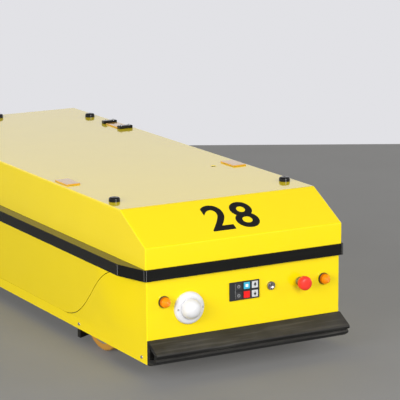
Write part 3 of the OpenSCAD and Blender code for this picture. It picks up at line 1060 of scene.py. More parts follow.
@dataclass
class LowerBody(SubAssembly):
    """The yellow panels under the rubbing strip, with rounded upright corners.

    Attributes:
        corner: Rounding of the end panels' upright edges.
        face_depth: Depth within which an edge counts as a panel's outside.
        seal_lap: How far a door's seal laps behind the seam.
        seal_step: How far a door's seal lies inside the door.
    """

    corner: float = 0.0028
    face_depth: float = 1e-4
    seal_lap: float = 0.012
    seal_step: float = 0.006

    def build(self) -> None:
        """Rounds the end panels, shades the sides as smooth sheets and seals the doors."""
        for end in End:
            self._end_panel(end)
        for side in Side:
            for node in (f"side_panel_{side.word}", f"side_door_{side.word}"):
                sheet = Bench.from_node(node, f"{node}_sheet")
                # The sides take a darker copy of the yellow, which is painted shade.
                self.dress(sheet, Finishes.YELLOW_SIDE_SHADED, stands_for=(node,))
            self._seal(side)

    def _end_panel(self, end: End) -> None:
        """Makes an end panel with its two outer upright edges rounded.

        Args:
            end: The panel's end of the vehicle.
        """
        node = f"{end.word}_panel"
        low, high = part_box(node)
        face = high.x if end is End.FRONT else low.x

        def outer_upright(a: Vector, b: Vector) -> bool:
            """Tells whether an edge is an upright one on the panel's outside."""
            return a.x == b.x and a.y == b.y and abs(a.x - face) < self.face_depth

        panel = Bench.round_edges(
            Bench.box(f"{node}_edged", low, high), outer_upright, self.corner
        )
        self.dress(panel, Finishes.YELLOW, stands_for=(node,))

    def _seal(self, side: Side) -> None:
        """Lays a black sheet behind a door, so that no light comes through its seam.

        Args:
            side: The door's side of the vehicle.
        """
        node = f"side_door_{side.word}"
        low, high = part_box(node)
        seal = Bench.from_node(node, f"door_seal_{side.word}")
        stretch = Matrix.Diagonal((
            1 + 2 * self.seal_lap / (high.x - low.x), 1, 1 + self.seal_lap / (high.z - low.z), 1
        ))
        anchor = Vector(((low.x + high.x) / 2, 0, high.z))
        inward = anchor + Vector((0, -side.value * self.seal_step, 0))
        Bench.turn(seal, Matrix.Translation(inward) @ stretch @ Matrix.Translation(-anchor))
        # The black sheet stands for the door's seal and is painted shade in the seam.
        self.dress(seal, Finishes.STRIP)


@dataclass
class UnitNumber(SubAssembly):
    """The plain number on each end's slope.

    Attributes:
        digits: The number.
        height: Height of the digits along the slope.
        base: Distance of their foot above the fold, along the slope.
        centre_y: Middle of the number across the front.
        width: Width of the whole number.
        spacing: Space between the digits, as a share of the usual one.
        weight: How far the digits' outline is thickened.
        film: Thickness of the text before it is flattened.
        flatten: Share of that thickness that is left.
        lift: Distance of the sticker's middle from the slope.
    """

    digits: str = "28"
    height: float = 0.108
    base: float = 0.030
    centre_y: float = -0.006
    width: float = 0.156
    spacing: float = 1.16
    weight: float = 0.021
    film: float = 0.001
    flatten: float = 0.15
    lift: float = 0.0001

    def build(self) -> None:
        """Sets the number on the front slope and on the rear one."""
        for end in End:
            self._number(end)

    def _number(self, end: End) -> None:
        """Makes one number as a thin sticker on its slope.

        Args:
            end: The end that it is on.
        """
        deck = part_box("deck_plate")[1]
        fold = Vector((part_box("hood_front")[1].x, self.centre_y, Hood.fold_height))
        up = Vector((deck.x - fold.x, 0, deck.z - fold.z)).normalized()
        across = Vector((0, 1, 0))
        normal = across.cross(up)
        Bench.clear()
        bpy.ops.object.text_add(location=(0, 0, 0))
        text = bpy.context.object
        text.name = f"unit_number_{end.word}"
        text.data.body = self.digits
        text.data.space_character = self.spacing
        text.data.offset = self.weight
        text.data.extrude = self.film
        bpy.ops.object.convert(target="MESH")
        xs = [p.co.x for p in text.data.vertices]
        ys = [p.co.y for p in text.data.vertices]
        sizes = (self.width / (max(xs) - min(xs)), self.height / (max(ys) - min(ys)))
        fit = Matrix.Diagonal((*sizes, self.flatten, 1.0)) @ Matrix.Translation(
            (-(max(xs) + min(xs)) / 2, -min(ys), 0)
        )
        slope = Bench.axes(across, up, normal, fold + up * self.base + normal * self.lift)
        half_turn = Matrix.Rotation(0.0 if end is End.FRONT else math.pi, 4, "Z")
        Bench.turn(text, half_turn @ slope @ fit)
        self.dress(text, Finishes.MARK_BLACK)


@dataclass
class Trim(SubAssembly):
    """The rubbing strip with painted highlights at its bends, the bumpers and the screws of the
    lower panels.

    Attributes:
        strip_skin: Depth within which an edge counts as the strip's outside.
        strip_corner: Rounding of the strip's upright corners.
        strip_edge: Rounding of its other edges.
        upright: Lean within which an edge counts as upright.
        bumper_edge: Rounding of the bumpers' edges.
        bends: X, Y, direction in degrees from Y and width of the painted highlight at a bend.
        highlight_inset: Distance of a painted highlight's ends from the strip's edges.
        highlight_depth: Depth of a painted highlight in the strip.
        highlight_rise: Height of a painted highlight over the strip, and the rounding of its
            edges.
        screw_places: Distance of each screw from the middle, and its height.
    """

    strip_skin: float = 0.0012
    strip_corner: float = 0.0035
    strip_edge: float = 0.0008
    upright: float = 1e-5
    bumper_edge: float = 0.0011
    bends: tuple[tuple[float, float, float, float], ...] = (
        (0.83125, 0.34376, 8.35, 0.0020), (0.9300, 0.3144, 16.7, 0.0015),
        (0.9340, 0.3091, 90.0, 0.0015),
    )
    highlight_inset: float = 0.0012
    highlight_depth: float = 0.0003
    highlight_rise: float = 0.0001
    screw_places: tuple[Pair, ...] = ((0.893, 0.055), (0.507, 0.055))

    def build(self) -> None:
        """Rounds the rubber pieces, paints highlights on the strip's bends and sets the screws.
        """
        self._strip()
        self._bend_highlights()
        for end in End:
            self.soften(f"bumper_{end.word}", Finishes.RUBBER, self.bumper_edge)
        panel_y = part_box("front_panel")[1].y
        for side in Side:
            places = [
                (end.value * x, side.value * panel_y, z)
                for end in End for x, z in self.screw_places
            ]
            self.screws(f"panel_screws_{side.word}", places, (0, side.value, 0))

    def _strip(self) -> None:
        """Rounds the strip's upright corners and then its other edges."""
        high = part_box("rubbing_strip")[1]
        skin = self.strip_skin

        def outer_corner(a: Vector, b: Vector) -> bool:
            """Tells whether an edge is an upright one on the strip's outside."""
            upright = abs(a.x - b.x) + abs(a.y - b.y) < self.upright
            return upright and (abs(a.x) > high.x - skin or abs(a.y) > high.y - skin)

        strip = Bench.from_node("rubbing_strip", "rubbing_strip_soft")
        Bench.round_edges(strip, outer_corner, self.strip_corner)
        Bench.bevel(strip, self.strip_edge, segments=2)
        self.dress(strip, Finishes.STRIP, stands_for=("rubbing_strip",))

    def _bend_highlights(self) -> None:
        """Paints pale highlights on the bends of the strip, where its corners catch the light."""
        highlights = [
            self._bend_highlight(end, side, *bend)
            for end in End for side in Side for bend in self.bends
        ]
        self.dress(Bench.join("strip_bend_highlights", highlights), Finishes.STRIP_BEND_HIGHLIGHT)

    def _bend_highlight(
        self, end: End, side: Side, x: float, y: float, degrees: float, width: float
    ) -> Object:
        """Makes one painted highlight.

        Args:
            end: The vehicle's end that it is at.
            side: The vehicle's side that it is on.
            x: Its distance from the middle along the vehicle.
            y: Its distance from the middle line.
            degrees: The way that it faces, from the side to the end.
            width: Its width.

        Returns:
            The painted highlight.
        """
        low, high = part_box("rubbing_strip")
        half = (high.z - low.z) / 2 - self.highlight_inset
        angle = math.radians(degrees)
        out = Vector((end.value * math.sin(angle), side.value * math.cos(angle), 0))
        # The pale block is a painted highlight laid on the rubber.
        mark = Bench.box(
            "mark", (-width / 2, -half, -self.highlight_depth), (width / 2, half, self.highlight_rise)
        )
        place = (end.value * x, side.value * y, (low.z + high.z) / 2)
        Bench.bevel(mark, self.highlight_rise, segments=1)
        return Bench.turn(mark, Bench.axes(UP.cross(out), UP, out, place))


@dataclass
class DeckFittings(SubAssembly):
    """Rubber buffers, load pads and stop bars on the deck.

    Attributes:
        places: Middle of each buffer.
        radius: A buffer's radius.
        height: A buffer's height.
        buffer: Outline of a buffer for a radius and a height of 1.
        pad_edge: Rounding of the load pads.
        bar_edge: Rounding of the stop bars.
        bar_length: Length of a stop bar across the vehicle.
        screw_radius: Radius of the stop bars' screws.
        screw_inset: Distance of a screw from the bar's long edge.
        screw_shift: Distance of a screw from the bar's middle.
        screw_sink: How far a screw's head sinks in the bar.
    """

    places: tuple[Pair, ...] = (
        (0.681, 0.274), (0.681, -0.274), (-0.588, 0.274), (-0.588, -0.274), (-0.734, 0.0),
    )
    radius: float = 0.016
    height: float = 0.012
    buffer: Profile = (
        (0, 0.62), (0.20, 0.62), (0.22, 1), (0.62, 1), (0.82, 0.95), (0.93, 0.82), (0.98, 0.62),
        (1, 0.30), (1, 0), (0, 0),
    )
    pad_edge: float = 0.0012
    bar_edge: float = 0.0015
    bar_length: float = 0.049
    screw_radius: float = 0.0048
    screw_inset: float = 0.009
    screw_shift: float = 0.014
    screw_sink: float = 0.0002

    def build(self) -> None:
        """Makes the buffers, rounds the pads and bars and sets the bars' screws."""
        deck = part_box("deck_plate")[1].z
        first = Bench.lathe("buffer", Bench.scaled(self.buffer, self.radius, self.height))
        copies = [Bench.copy(first, "buffer", (x, y, deck)) for x, y in self.places]
        bpy.data.objects.remove(first, do_unlink=True)
        buffers = Bench.join("deck_buffers_turned", copies)
        self.dress(buffers, Finishes.GLOSS_BLACK, stands_for=("deck_buffers",))
        self.soften("load_pads", Finishes.PAD, self.pad_edge)
        self.soften("stop_blocks", Finishes.GLOSS_BLACK, self.bar_edge)
        self._bar_screws()

    def _bar_screws(self) -> None:
        """Sets two bright screws in the top of each stop bar."""
        low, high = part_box("stop_blocks")
        middle = high.y - self.bar_length / 2
        self.screws("stop_block_screws", [
            (x, side.value * middle + shift, high.z - self.screw_sink)
            for x in (low.x + self.screw_inset, high.x - self.screw_inset)
            for side in Side for shift in (-self.screw_shift, self.screw_shift)
        ], UP)


@dataclass(frozen=True)
class Turned:
    """A turned fitting of a panel.

    Attributes:
        name: The piece's name.
        finish: Its finish.
        profile: Radius and height of each point of its outline.
        out: Distance of its foot from the panel.
        node: The CAD node that it stands for, if any.
        steps: Number of faces round its axis.
    """

    name: str
    finish: Finishes
    profile: Profile
    out: float = 0.0
    node: str = ""
    steps: int = 48


LAMP_PIECES = (
    Turned("lamp_bezels_turned", Finishes.SATIN_BLACK, (
        (0, 0.001), (0.0143, 0.001), (0.0148, 0.0050), (0.0155, 0.0056), (0.0163, 0.0048),
        (0.0165, 0.0030), (0.0165, 0), (0, 0),
    ), node="lamp_bezels"),
    Turned("lamp_lenses_turned", Finishes.AMBER, (
        (0, 0.0200), (0.0024, 0.0198), (0.0040, 0.0192), (0.0046, 0.0186), (0.0054, 0.0189),
        (0.0074, 0.0178), (0.0080, 0.0170), (0.0087, 0.0170), (0.0106, 0.0147), (0.0124, 0.0118),
        (0.0138, 0.0084), (0.0132, 0.0060), (0, 0.0060),
    ), 0.0048, "lamp_lenses"),
    # The skirts' darker amber is painted shade at the lens rim.
    Turned("lamp_skirts", Finishes.AMBER_SHADED, (
        (0, 0), (0.0150, 0), (0.0150, 0.0034), (0.0146, 0.0066), (0.0140, 0.0086),
        (0.0133, 0.0086), (0, 0.0070),
    ), 0.0048),
)
STOP_PIECES = (
    Turned("stop_collars_turned", Finishes.COLLAR, (
        (0, 0), (0.0130, 0), (0.0130, 0.0035), (0.0124, 0.0045), (0.0118, 0.0052),
        (0.0118, 0.0130), (0.0110, 0.0150), (0, 0.0150),
    ), node="stop_collars"),
    Turned("stop_heads_turned", Finishes.RED, (
        (0, 0), (0.0110, 0), (0.0110, 0.0050), (0.0186, 0.0052), (0.0196, 0.0062),
        (0.0200, 0.0100), (0.0199, 0.0145), (0.0193, 0.0182), (0.0177, 0.0212), (0.0150, 0.0232),
        (0.0105, 0.0242), (0.0050, 0.0246), (0, 0.0246),
    ), 0.015, "stop_heads"),
)
SOUNDER_PIECES = (
    Turned("sounder_flange_turned", Finishes.WHITE, (
        (0, 0), (0.0450, 0), (0.0450, 0.0030), (0.0443, 0.0064), (0.0426, 0.0090),
        (0.0396, 0.0108), (0.0336, 0.0120), (0.0306, 0.0117), (0.0291, 0.0106), (0, 0.0106),
    ), node="sounder_flange", steps=72),
    Turned("sounder_dome_turned", Finishes.WHITE, (
        (0, 0), (0.0282, 0), (0.0285, 0.0028), (0.0283, 0.0068), (0.0273, 0.0116),
        (0.0251, 0.0166), (0.0219, 0.0212), (0.0177, 0.0250), (0.0126, 0.0277), (0.0067, 0.0291),
        (0, 0.0294),
    ), 0.0106, "sounder_dome", 72),
)
LOCK_RING = Turned("key_switch_ring", Finishes.CHROME, (
    (0.0085, 0.0020), (0.0085, 0.0052), (0.0096, 0.0060), (0.0112, 0.0058), (0.0122, 0.0046),
    (0.0125, 0.0025), (0.0125, 0), (0.0085, 0), (0.0085, 0.0020),
), node="key_switch")
LOCK_BARREL = Turned("key_switch_barrel", Finishes.CHROME, (
    (0, 0), (0.0084, 0), (0.0084, 0.0056), (0.0080, 0.0057), (0.0068, 0.0049), (0.0050, 0.0041),
    (0.0026, 0.0036), (0, 0.0035),
))


@dataclass
class PanelFittings(SubAssembly):
    """Lamps, stop buttons, sounder, keypad and key switch.

    Attributes:
        row_height: Height of the row of fittings.
        lamp_height: Height of the lamps.
        lamp_y: Distance of the lamps from the middle line.
        stop_y: Distance of the stop buttons from the middle line.
        sounder: Y and Z of the sounder's middle.
        screw_radius: Radius of the sounder's screws.
        screw_shift: Distance of those screws from its middle.
        screw_out: Distance of their feet from the panel.
        lock_y: Y of the key switch.
        slot_out: Distance of the key slot's middle from the panel.
        slot_half: Half of the key slot's size.
    """

    row_height: float = 0.211
    lamp_height: float = 0.209
    lamp_y: float = 0.253
    stop_y: float = 0.175
    sounder: Pair = (-0.177, 0.183)
    screw_radius: float = 0.003
    screw_shift: float = 0.0375
    screw_out: float = 0.0106
    lock_y: float = 0.081
    slot_out: float = 0.006
    slot_half: tuple[float, float, float] = (0.004, 0.0011, 0.0050)

    @property
    def face(self) -> float:
        """X of the front panel's outside."""
        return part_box("front_panel")[1].x

    def build(self) -> None:
        """Makes every fitting of the front panel and of the rear one."""
        lamps = [
            (end, y, self.lamp_height) for end in End for y in (-self.lamp_y, self.lamp_y)
        ]
        stops = [(end, end.value * self.stop_y, self.row_height) for end in End]
        sounder = [(End.FRONT, *self.sounder)]
        for pieces, spots in (
            (LAMP_PIECES, lamps), (STOP_PIECES, stops), (SOUNDER_PIECES, sounder),
        ):
            for piece in pieces:
                self._finish(piece, self._turn(piece, spots))
        y, z = self.sounder
        self.screws("sounder_screws", [
            (self.face + self.screw_out, y + shift, z)
            for shift in (-self.screw_shift, self.screw_shift)
        ], (1, 0, 0))
        self._key_switch()
        Keypad(self.shop, self.made).build()

    def _turn(self, piece: Turned, spots: Sequence[tuple[End, float, float]]) -> Object:
        """Makes a turned fitting at each of its places, in one object.

        Args:
            piece: The fitting.
            spots: End, Y and Z of each place.

        Returns:
            The object.
        """
        return Bench.join(piece.name, [
            Bench.stand(
                Bench.lathe(piece.name, piece.profile, piece.steps),
                (end.value * (self.face + piece.out), y, z), (end.value, 0, 0),
            )
            for end, y, z in spots
        ])

    def _finish(self, piece: Turned, obj: Object) -> None:
        """Dresses a turned fitting, in its CAD node's place if it has one."""
        self.dress(obj, piece.finish, stands_for=(piece.node,) if piece.node else ())

    def _key_switch(self) -> None:
        """Makes the chrome ring and the dished barrel with its key slot."""
        spot = [(End.FRONT, self.lock_y, self.row_height)]
        self._finish(LOCK_RING, self._turn(LOCK_RING, spot))
        barrel = self._turn(LOCK_BARREL, spot)
        middle = Vector((self.face + self.slot_out, self.lock_y, self.row_height))
        half = Vector(self.slot_half)
        Bench.cut(barrel, Bench.box("slot", middle - half, middle + half))
        self._finish(LOCK_BARREL, barrel)


@dataclass
class Keypad(SubAssembly):
    """The keypad's plate, six keys and their plain symbols.

    Attributes:
        plate_edge: Rounding of the plate.
        key_side: Side of a key.
        key_inset: Distance of the outer keys' middles from the edge of the key field.
        key_edge: Rounding of a key.
        depth: Height of a key over the plate.
        dish: Depth of the dish in a key's top.
        dish_rim: Width of the rim round the dish.
        line: Lowest corner of the plate's line, from the plate's own.
        line_width: Width of that line.
        line_sink: How far it sinks in the plate.
        mark: Thickness of a mark.
        mark_edge: Rounding of a mark.
        ring: Outline of a ring mark.
        ring_steps: Number of faces round it.
        ring_gap: Half of the width, half of the depth and the height of the ring's gap.
        bar_half: Half of the width of the bar in that gap.
        bar_top: Height of the bar's end over the key's middle.
        window_half: Half of the side of the square mark.
        stem_half: Half of the width of an arrow's stem.
        stem_length: Length of the stem.
        tip_sides: Number of sides of an arrow's tip.
        tip_radius: Radius of the tip.
        tip_shift: Distance of the tip from the key's middle.
    """

    plate_edge: float = 0.0012
    key_side: float = 0.0190
    key_inset: float = 0.010
    key_edge: float = 0.0008
    depth: float = 0.0025
    dish: float = 0.0004
    dish_rim: float = 0.0022
    line: Pair = (0.017, 0.004)
    line_width: float = 0.001
    line_sink: float = 0.0001
    mark: float = 0.0003
    mark_edge: float = 0.0001
    ring: Profile = (
        (0.0032, 0), (0.0032, 0.0003), (0.0046, 0.0003), (0.0046, 0), (0.0032, 0),
    )
    ring_steps: int = 28
    ring_gap: tuple[float, float, float] = (0.0012, 0.001, 0.006)
    bar_half: float = 0.0005
    bar_top: float = 0.0048
    window_half: float = 0.0042
    stem_half: float = 0.0012
    stem_length: float = 0.0050
    tip_sides: int = 3
    tip_radius: float = 0.0052
    tip_shift: float = 0.0014

    @property
    def top(self) -> float:
        """X of the plate's outside."""
        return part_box("control_plate")[1].x

    def build(self) -> None:
        """Makes the plate, the keys and the symbols."""
        low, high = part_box("control_plate")
        plate = Bench.box("control_plate_edged", low, high)
        Bench.bevel(plate, self.plate_edge, segments=3)
        self.dress(plate, Finishes.SATIN_BLACK, stands_for=("control_plate",))
        key_low, key_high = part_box("control_keys")
        rows = (key_high.z - self.key_inset, key_low.z + self.key_inset)
        left = key_low.y + self.key_inset
        middle = (key_low.y + key_high.y) / 2
        right = key_high.y - self.key_inset
        self._keys("keys_dark", [(left, z) for z in rows], Finishes.KEY_DARK, ("control_keys",))
        self._keys("key_blue", [(middle, rows[0])], Finishes.KEY_BLUE)
        self._keys("key_red", [(middle, rows[1])], Finishes.KEY_RED)
        self._keys("keys_light", [(right, z) for z in rows], Finishes.KEY_GREY)
        arrows = [self._arrow(right, z, way) for z, way in zip(rows, (1, -1))]
        self.dress(Bench.join("key_arrows", arrows), Finishes.MARK_BLACK)
        rings = [part for z in rows for part in self._ring_and_bar(left, z)]
        self.dress(Bench.join("key_rings", rings), Finishes.MARK_GREY)
        half = self.window_half
        window = self._mark(
            "key_window", (middle - half, rows[0] - half), (middle + half, rows[0] + half)
        )
        self.dress(Bench.bevel(window, self.mark_edge, segments=1), Finishes.MARK_WHITE)
        y, inset = low.y + self.line[0], self.line[1]
        foot = self.top - self.line_sink
        stripe = Bench.box(
            "keypad_line", (foot, y, low.z + inset),
            (foot + self.mark, y + self.line_width, high.z - inset),
        )
        self.dress(Bench.bevel(stripe, self.mark_edge, segments=1), Finishes.MARK_GREY)

    def _keys(
        self, name: str, places: Sequence[Pair], kind: Finishes, stands_for: Sequence[str] = ()
    ) -> None:
        """Makes keys of one colour with dished tops.

        Args:
            name: The object's name.
            places: Y and Z of each key's middle.
            kind: The keys' finish.
            stands_for: The CAD nodes that they replace.
        """
        keys = []
        half = self.key_side / 2
        for y, z in places:
            key = Bench.box(
                name, (self.top, y - half, z - half), (self.top + self.depth, y + half, z + half)
            )
            Bench.pick_faces(key, lambda c, n: n.x > Bench.FACING)
            with Bench.editing(key, Pick.FACES):
                bpy.ops.mesh.inset(thickness=self.dish_rim, depth=-self.dish)
            keys.append(Bench.bevel(key, self.key_edge, segments=2))
        self.dress(Bench.join(name, keys), kind, stands_for=stands_for)

    @property
    def key_top(self) -> float:
        """X of the bottom of a key's dish."""
        return self.top + self.depth - self.dish

    def _mark(self, name: str, low: Pair, high: Pair) -> Object:
        """Makes a thin block in a key's dish between two corners, given by Y and Z."""
        return Bench.box(name, (self.key_top, *low), (self.key_top + self.mark, *high))

    def _ring_and_bar(self, y: float, z: float) -> tuple[Object, Object]:
        """Makes a ring with a gap at its top and a bar that stands in the gap.

        Args:
            y: The key's middle across.
            z: The key's middle in height.

        Returns:
            The ring and the bar.
        """
        x = self.key_top
        half_gap, half_depth, gap_top = self.ring_gap
        ring = Bench.lathe("ring", self.ring, self.ring_steps)
        Bench.stand(ring, (x, y, z), (1, 0, 0))
        Bench.cut(ring, Bench.box(
            "gap", (x - half_depth, y - half_gap, z), (x + half_depth, y + half_gap, z + gap_top)
        ))
        half = self.bar_half
        return ring, self._mark("bar", (y - half, z - half), (y + half, z + self.bar_top))

    def _arrow(self, y: float, z: float, way: int) -> Object:
        """Makes one straight arrow.

        Args:
            y: The key's middle across.
            z: The key's middle in height.
            way: 1 for up and -1 for down.

        Returns:
            The arrow.
        """
        foot, head = sorted((z, z - way * self.stem_length))
        stem = self._mark("arrow", (y - self.stem_half, foot), (y + self.stem_half, head))
        Bench.clear()
        bpy.ops.mesh.primitive_cone_add(
            vertices=self.tip_sides, radius1=self.tip_radius, radius2=self.tip_radius,
            depth=self.mark, location=(0, 0, 0),
        )
        tip = bpy.context.object
        place = Vector((self.key_top + self.mark / 2, y, z + way * self.tip_shift))
        point_up = Matrix(((0, 0, 1, 0), (-1, 0, 0, 0), (0, way, 0, 0), (0, 0, 0, 1)))
        Bench.turn(tip, Matrix.Translation(place) @ point_up)
        arrow = Bench.join("arrow", [stem, tip])
        with Bench.editing(arrow, Pick.FACES):
            bpy.ops.mesh.select_all(action="SELECT")
            bpy.ops.mesh.normals_make_consistent(inside=False)
        return arrow


@dataclass
class DriveWheel(SubAssembly):
    """The bolts and the cap on a drive wheel's hub.

    Attributes:
        side: The vehicle's side.
        bolts: Number of bolts in the ring.
        ring: Radius of the bolts' circle.
        screw_radius: Radius of a bolt's head.
        web_depth: Depth of the hub's web under its outer face.
        cap: Outline of the cap.
    """

    side: Side = Side.RIGHT
    bolts: int = 6
    ring: float = 0.060
    screw_radius: float = 0.008
    web_depth: float = 0.008
    cap: Profile = (
        (0, 0.0050), (0.0180, 0.0046), (0.0250, 0.0036), (0.0290, 0.0018), (0.0300, 0), (0, 0),
    )

    def build(self) -> None:
        """Sets bolts and a cap on the hub's outer face."""
        word = self.side.word
        body = f"drive_wheel_{word}"
        low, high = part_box(f"drive_hub_{word}")
        axis = (0, self.side.value, 0)
        outer = high.y if self.side is Side.LEFT else low.y
        web = outer - self.side.value * self.web_depth
        centre = (low + high) / 2
        angles = [math.tau * i / self.bolts for i in range(self.bolts)]
        self.screws(f"hub_bolts_{word}", [
            (centre.x + self.ring * math.cos(a), web, centre.z + self.ring * math.sin(a))
            for a in angles
        ], axis, body)
        cap = Bench.lathe(f"hub_cap_{word}", self.cap)
        self.dress(Bench.stand(cap, (centre.x, outer, centre.z), axis), Finishes.METAL, body)


@dataclass
class Caster(SubAssembly):
    """Rounded fork, axle nuts and plate bolts of one rear caster.

    Attributes:
        side: The vehicle's side.
        fork_edge: Rounding of the fork.
        nut: Outline of an axle nut.
        nut_sides: Number of a nut's sides.
        nut_y: Distance of a nut's foot from the wheel's middle.
        screw_radius: Radius of a plate bolt's head.
        bolt_inset: Distance of the bolts from the plate's edges.
        plate_sheet: Thickness of the plate.
    """

    side: Side = Side.RIGHT
    fork_edge: float = 0.0015
    nut: Profile = ((0, 0.007), (0.0085, 0.007), (0.0098, 0.0058), (0.0098, 0), (0, 0))
    nut_sides: int = 6
    nut_y: float = 0.0385
    screw_radius: float = 0.008
    bolt_inset: float = 0.014
    plate_sheet: float = 0.008

    def build(self) -> None:
        """Rounds the fork and sets its nuts and the plate's bolts."""
        word = self.side.word
        swivel = f"caster_swivel_{word}"
        self.soften(f"caster_fork_{word}", Finishes.METAL, self.fork_edge, swivel)
        hub_low, hub_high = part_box(f"caster_hub_{word}")
        axle = (hub_low + hub_high) / 2
        nuts = [
            Bench.stand(
                Bench.lathe("nut", self.nut, self.nut_sides),
                (axle.x, axle.y + way * self.nut_y, axle.z), (0, way, 0),
            )
            for way in (-1, 1)
        ]
        self.dress(Bench.join(f"caster_nuts_{word}", nuts), Finishes.SCREW, swivel)
        low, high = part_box(f"caster_plate_{word}")
        inset = self.bolt_inset
        self.screws(f"caster_plate_bolts_{word}", [
            (x, y, high.z - self.plate_sheet)
            for x in (low.x + inset, high.x - inset) for y in (low.y + inset, high.y - inset)
        ], (0, 0, -1))


@dataclass(frozen=True)
class Lamp:
    """A square soft lamp that faces the vehicle.

    Attributes:
        name: The lamp's name.
        place: Where it hangs.
        power: Its power in watts.
        size: Its side.
        mirrored: Whether glossy surfaces show the lamp itself.
        target: The place that it faces.
    """

    name: str
    place: tuple[float, float, float]
    power: float
    size: float = 3.0
    mirrored: bool = False
    target: tuple[float, float, float] = (0, 0, 0.2)

    def hang(self) -> None:
        """Adds the lamp to the scene."""
        data = bpy.data.lights.new(self.name, "AREA")
        data.size = self.size
        data.energy = self.power
        lamp = bpy.data.objects.new(self.name, data)
        lamp.location = self.place
        lamp.visible_glossy = self.mirrored
        aim = Vector(self.target) - Vector(self.place)
        lamp.rotation_mode = "QUATERNION"
        lamp.rotation_quaternion = aim.to_track_quat("-Z", "Y")
        bpy.context.collection.objects.link(lamp)


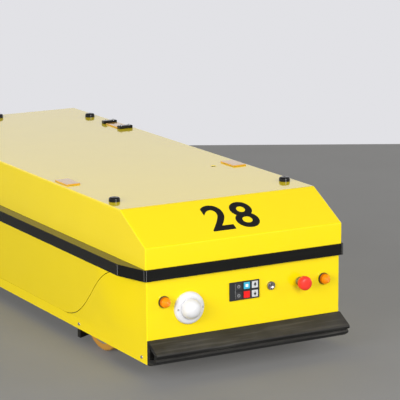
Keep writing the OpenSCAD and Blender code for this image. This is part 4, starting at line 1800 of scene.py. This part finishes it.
@dataclass
class Studio:
    """Floor, world, lamps and the camera at the photograph's viewing angle.

    Attributes:
        place: The camera's place.
        heading: Direction of view in plan, in degrees from +X.
        dip: Angle of view below the horizon.
        roll: Turn about the line of view.
        lens: Focal length in millimetres.
        sensor: Width of the sensor in millimetres.
        floor_reach: Distance from the camera to the floor's far edge.
        floor_size: Length and width of the floor.
        floor_colour: Linear colour of the floor.
        floor_lift: Share of its colour that the floor shows in full shade.
        floor_roughness: Roughness of the floor.
        floor_patch: Scale and detail of the floor's patches.
        floor_tone: Least and greatest tone of the patches.
        wall_colour: Linear colour of the wall.
        ceiling_colour: Linear colour of the ceiling in reflections.
        wall_rise: Heights of view at which the wall ends and the ceiling begins.
        soft_light: Strength of the light from all round.
        lamps: The lamps.
    """

    place: tuple[float, float, float] = (5.6588, -2.7716, 1.635)
    heading: float = 150.93
    dip: float = 12.08
    roll: float = -0.35
    lens: float = 186.03
    sensor: float = 36.0
    floor_reach: float = 8.77
    floor_size: Pair = (30.0, 40.0)
    floor_colour: Colour = (0.160, 0.158, 0.154)
    floor_lift: float = 0.50
    floor_roughness: float = 0.75
    floor_patch: Pair = (3.0, 6.0)
    floor_tone: Pair = (0.94, 1.06)
    wall_colour: Colour = (0.76, 0.76, 0.79)
    ceiling_colour: Colour = (0.22, 0.22, 0.22)
    wall_rise: Pair = (0.36, 0.62)
    soft_light: float = 0.12
    lamps: tuple[Lamp, ...] = (
        Lamp("key", (6.65, 0.23, 2.36), 243.0, mirrored=True),
        Lamp("fill", (3.38, -5.86, 2.01), 358.0, 3.5),
        Lamp("side", (-0.90, -6.43, 2.82), 95.0),
        Lamp("high", (3.94, -2.18, 5.56), 50.0),
        Lamp("left", (-0.81, 6.61, 2.36), 110.0),
        Lamp("front_left", (3.82, 5.45, 2.36), 85.0),
        Lamp("rear", (-4.50, 0.0, 5.56), 105.0),
    )

    def build(self) -> None:
        """Makes the camera, the floor, the world and the lamps."""
        bpy.context.scene.view_settings.view_transform = "Standard"
        self._camera()
        self._floor()
        self._world()
        for lamp in self.lamps:
            lamp.hang()

    def _camera(self) -> None:
        """Sets the camera from its place and three angles."""
        yaw, pitch, roll = (math.radians(a) for a in (self.heading, self.dip, self.roll))
        ahead = Vector((
            math.cos(yaw) * math.cos(pitch), math.sin(yaw) * math.cos(pitch), -math.sin(pitch)
        ))
        level = ahead.cross(UP).normalized()
        upright = level.cross(ahead)
        right = level * math.cos(roll) + upright * math.sin(roll)
        up = upright * math.cos(roll) - level * math.sin(roll)
        data = bpy.data.cameras.new("camera")
        data.lens = self.lens
        data.sensor_width = self.sensor
        camera = bpy.data.objects.new("camera", data)
        camera.matrix_world = Bench.axes(right, up, -ahead, self.place)
        bpy.context.collection.objects.link(camera)
        bpy.context.scene.camera = camera

    def _floor(self) -> None:
        """Lays a wide floor that ends in a straight line behind the vehicle."""
        yaw = math.radians(self.heading)
        ahead = Vector((math.cos(yaw), math.sin(yaw), 0))
        across = Vector((-math.sin(yaw), math.cos(yaw), 0))
        Bench.clear()
        bpy.ops.mesh.primitive_plane_add(size=1.0, location=(0, 0, 0))
        floor = bpy.context.object
        floor.name = "floor"
        length, width = self.floor_size
        middle = Vector((*self.place[:2], 0)) + ahead * (self.floor_reach - length / 2)
        stretch = Matrix.Diagonal((length, width, 1.0, 1.0))
        Bench.turn(floor, Bench.axes(ahead, across, UP, middle) @ stretch)
        floor.data.materials.append(self._floor_material())

    def _floor_material(self) -> bpy.types.Material:
        """Makes the floor's grey, with faint patches and a lifted shade.

        Returns:
            The material.
        """
        material = bpy.data.materials.new("floor")
        material.use_nodes = True
        tree = material.node_tree
        where = tree.nodes.new("ShaderNodeTexCoord").outputs["Object"]
        least, most = self.floor_tone
        shade = Nodes.add(tree, "ShaderNodeMapRange", {
            "Value": Nodes.noise(tree, where, *self.floor_patch), "To Min": least, "To Max": most,
        })
        tint = Nodes.add(tree, "ShaderNodeHueSaturation", {
            "Color": self.floor_colour, "Value": shade.outputs["Result"],
        }).outputs["Color"]
        Nodes.wire(tree, tree.nodes["Principled BSDF"], {
            "Base Color": tint, "Roughness": self.floor_roughness, "Emission Color": tint,
            "Emission Strength": self.floor_lift,
        })
        return material

    def _world(self) -> None:
        """Gives a pale wall to the camera and to reflections, and soft light to the rest."""
        world = bpy.data.worlds.new("studio")
        bpy.context.scene.world = world
        world.use_nodes = True
        tree = world.node_tree
        light = Nodes.wire(tree, tree.nodes["Background"], {
            "Color": (1.0, 1.0, 1.0), "Strength": self.soft_light,
        })
        where = tree.nodes.new("ShaderNodeTexCoord").outputs["Generated"]
        rise = Nodes.add(tree, "ShaderNodeValToRGB", {"Fac": Nodes.height_of(tree, where)})
        stops = zip(self.wall_rise, (self.wall_colour, self.ceiling_colour))
        for element, (position, colour) in zip(rise.color_ramp.elements, stops):
            element.position = position
            element.color = (*colour, 1.0)
        wall = Nodes.add(tree, "ShaderNodeBackground", {
            "Color": rise.outputs["Color"], "Strength": 1.0,
        })
        path = tree.nodes.new("ShaderNodeLightPath").outputs
        seen = path["Is Camera Ray"]
        for ray in ("Is Glossy Ray", "Is Transmission Ray"):
            seen = Nodes.math(tree, "ADD", seen, path[ray], True)
        mix = Nodes.add(tree, "ShaderNodeMixShader", {
            0: seen, 1: light.outputs[0], 2: wall.outputs[0],
        })
        Nodes.wire(tree, tree.nodes["World Output"], {"Surface": mix.outputs[0]})


def main() -> None:
    """Builds the sub-assemblies in order and logs their pieces."""
    logging.basicConfig(level=logging.INFO, format="%(name)s %(message)s")
    Studio().build()
    shop = Paintshop()
    assemblies: list[SubAssembly] = [
        NodeCoat(shop), Hood(shop), LowerBody(shop), UnitNumber(shop), Trim(shop),
        DeckFittings(shop), PanelFittings(shop),
    ]
    for side in Side:
        assemblies += [DriveWheel(shop, side=side), Caster(shop, side=side)]
    for assembly in assemblies:
        assembly.build()
        assembly.report()


if __name__ == "__main__":
    main()
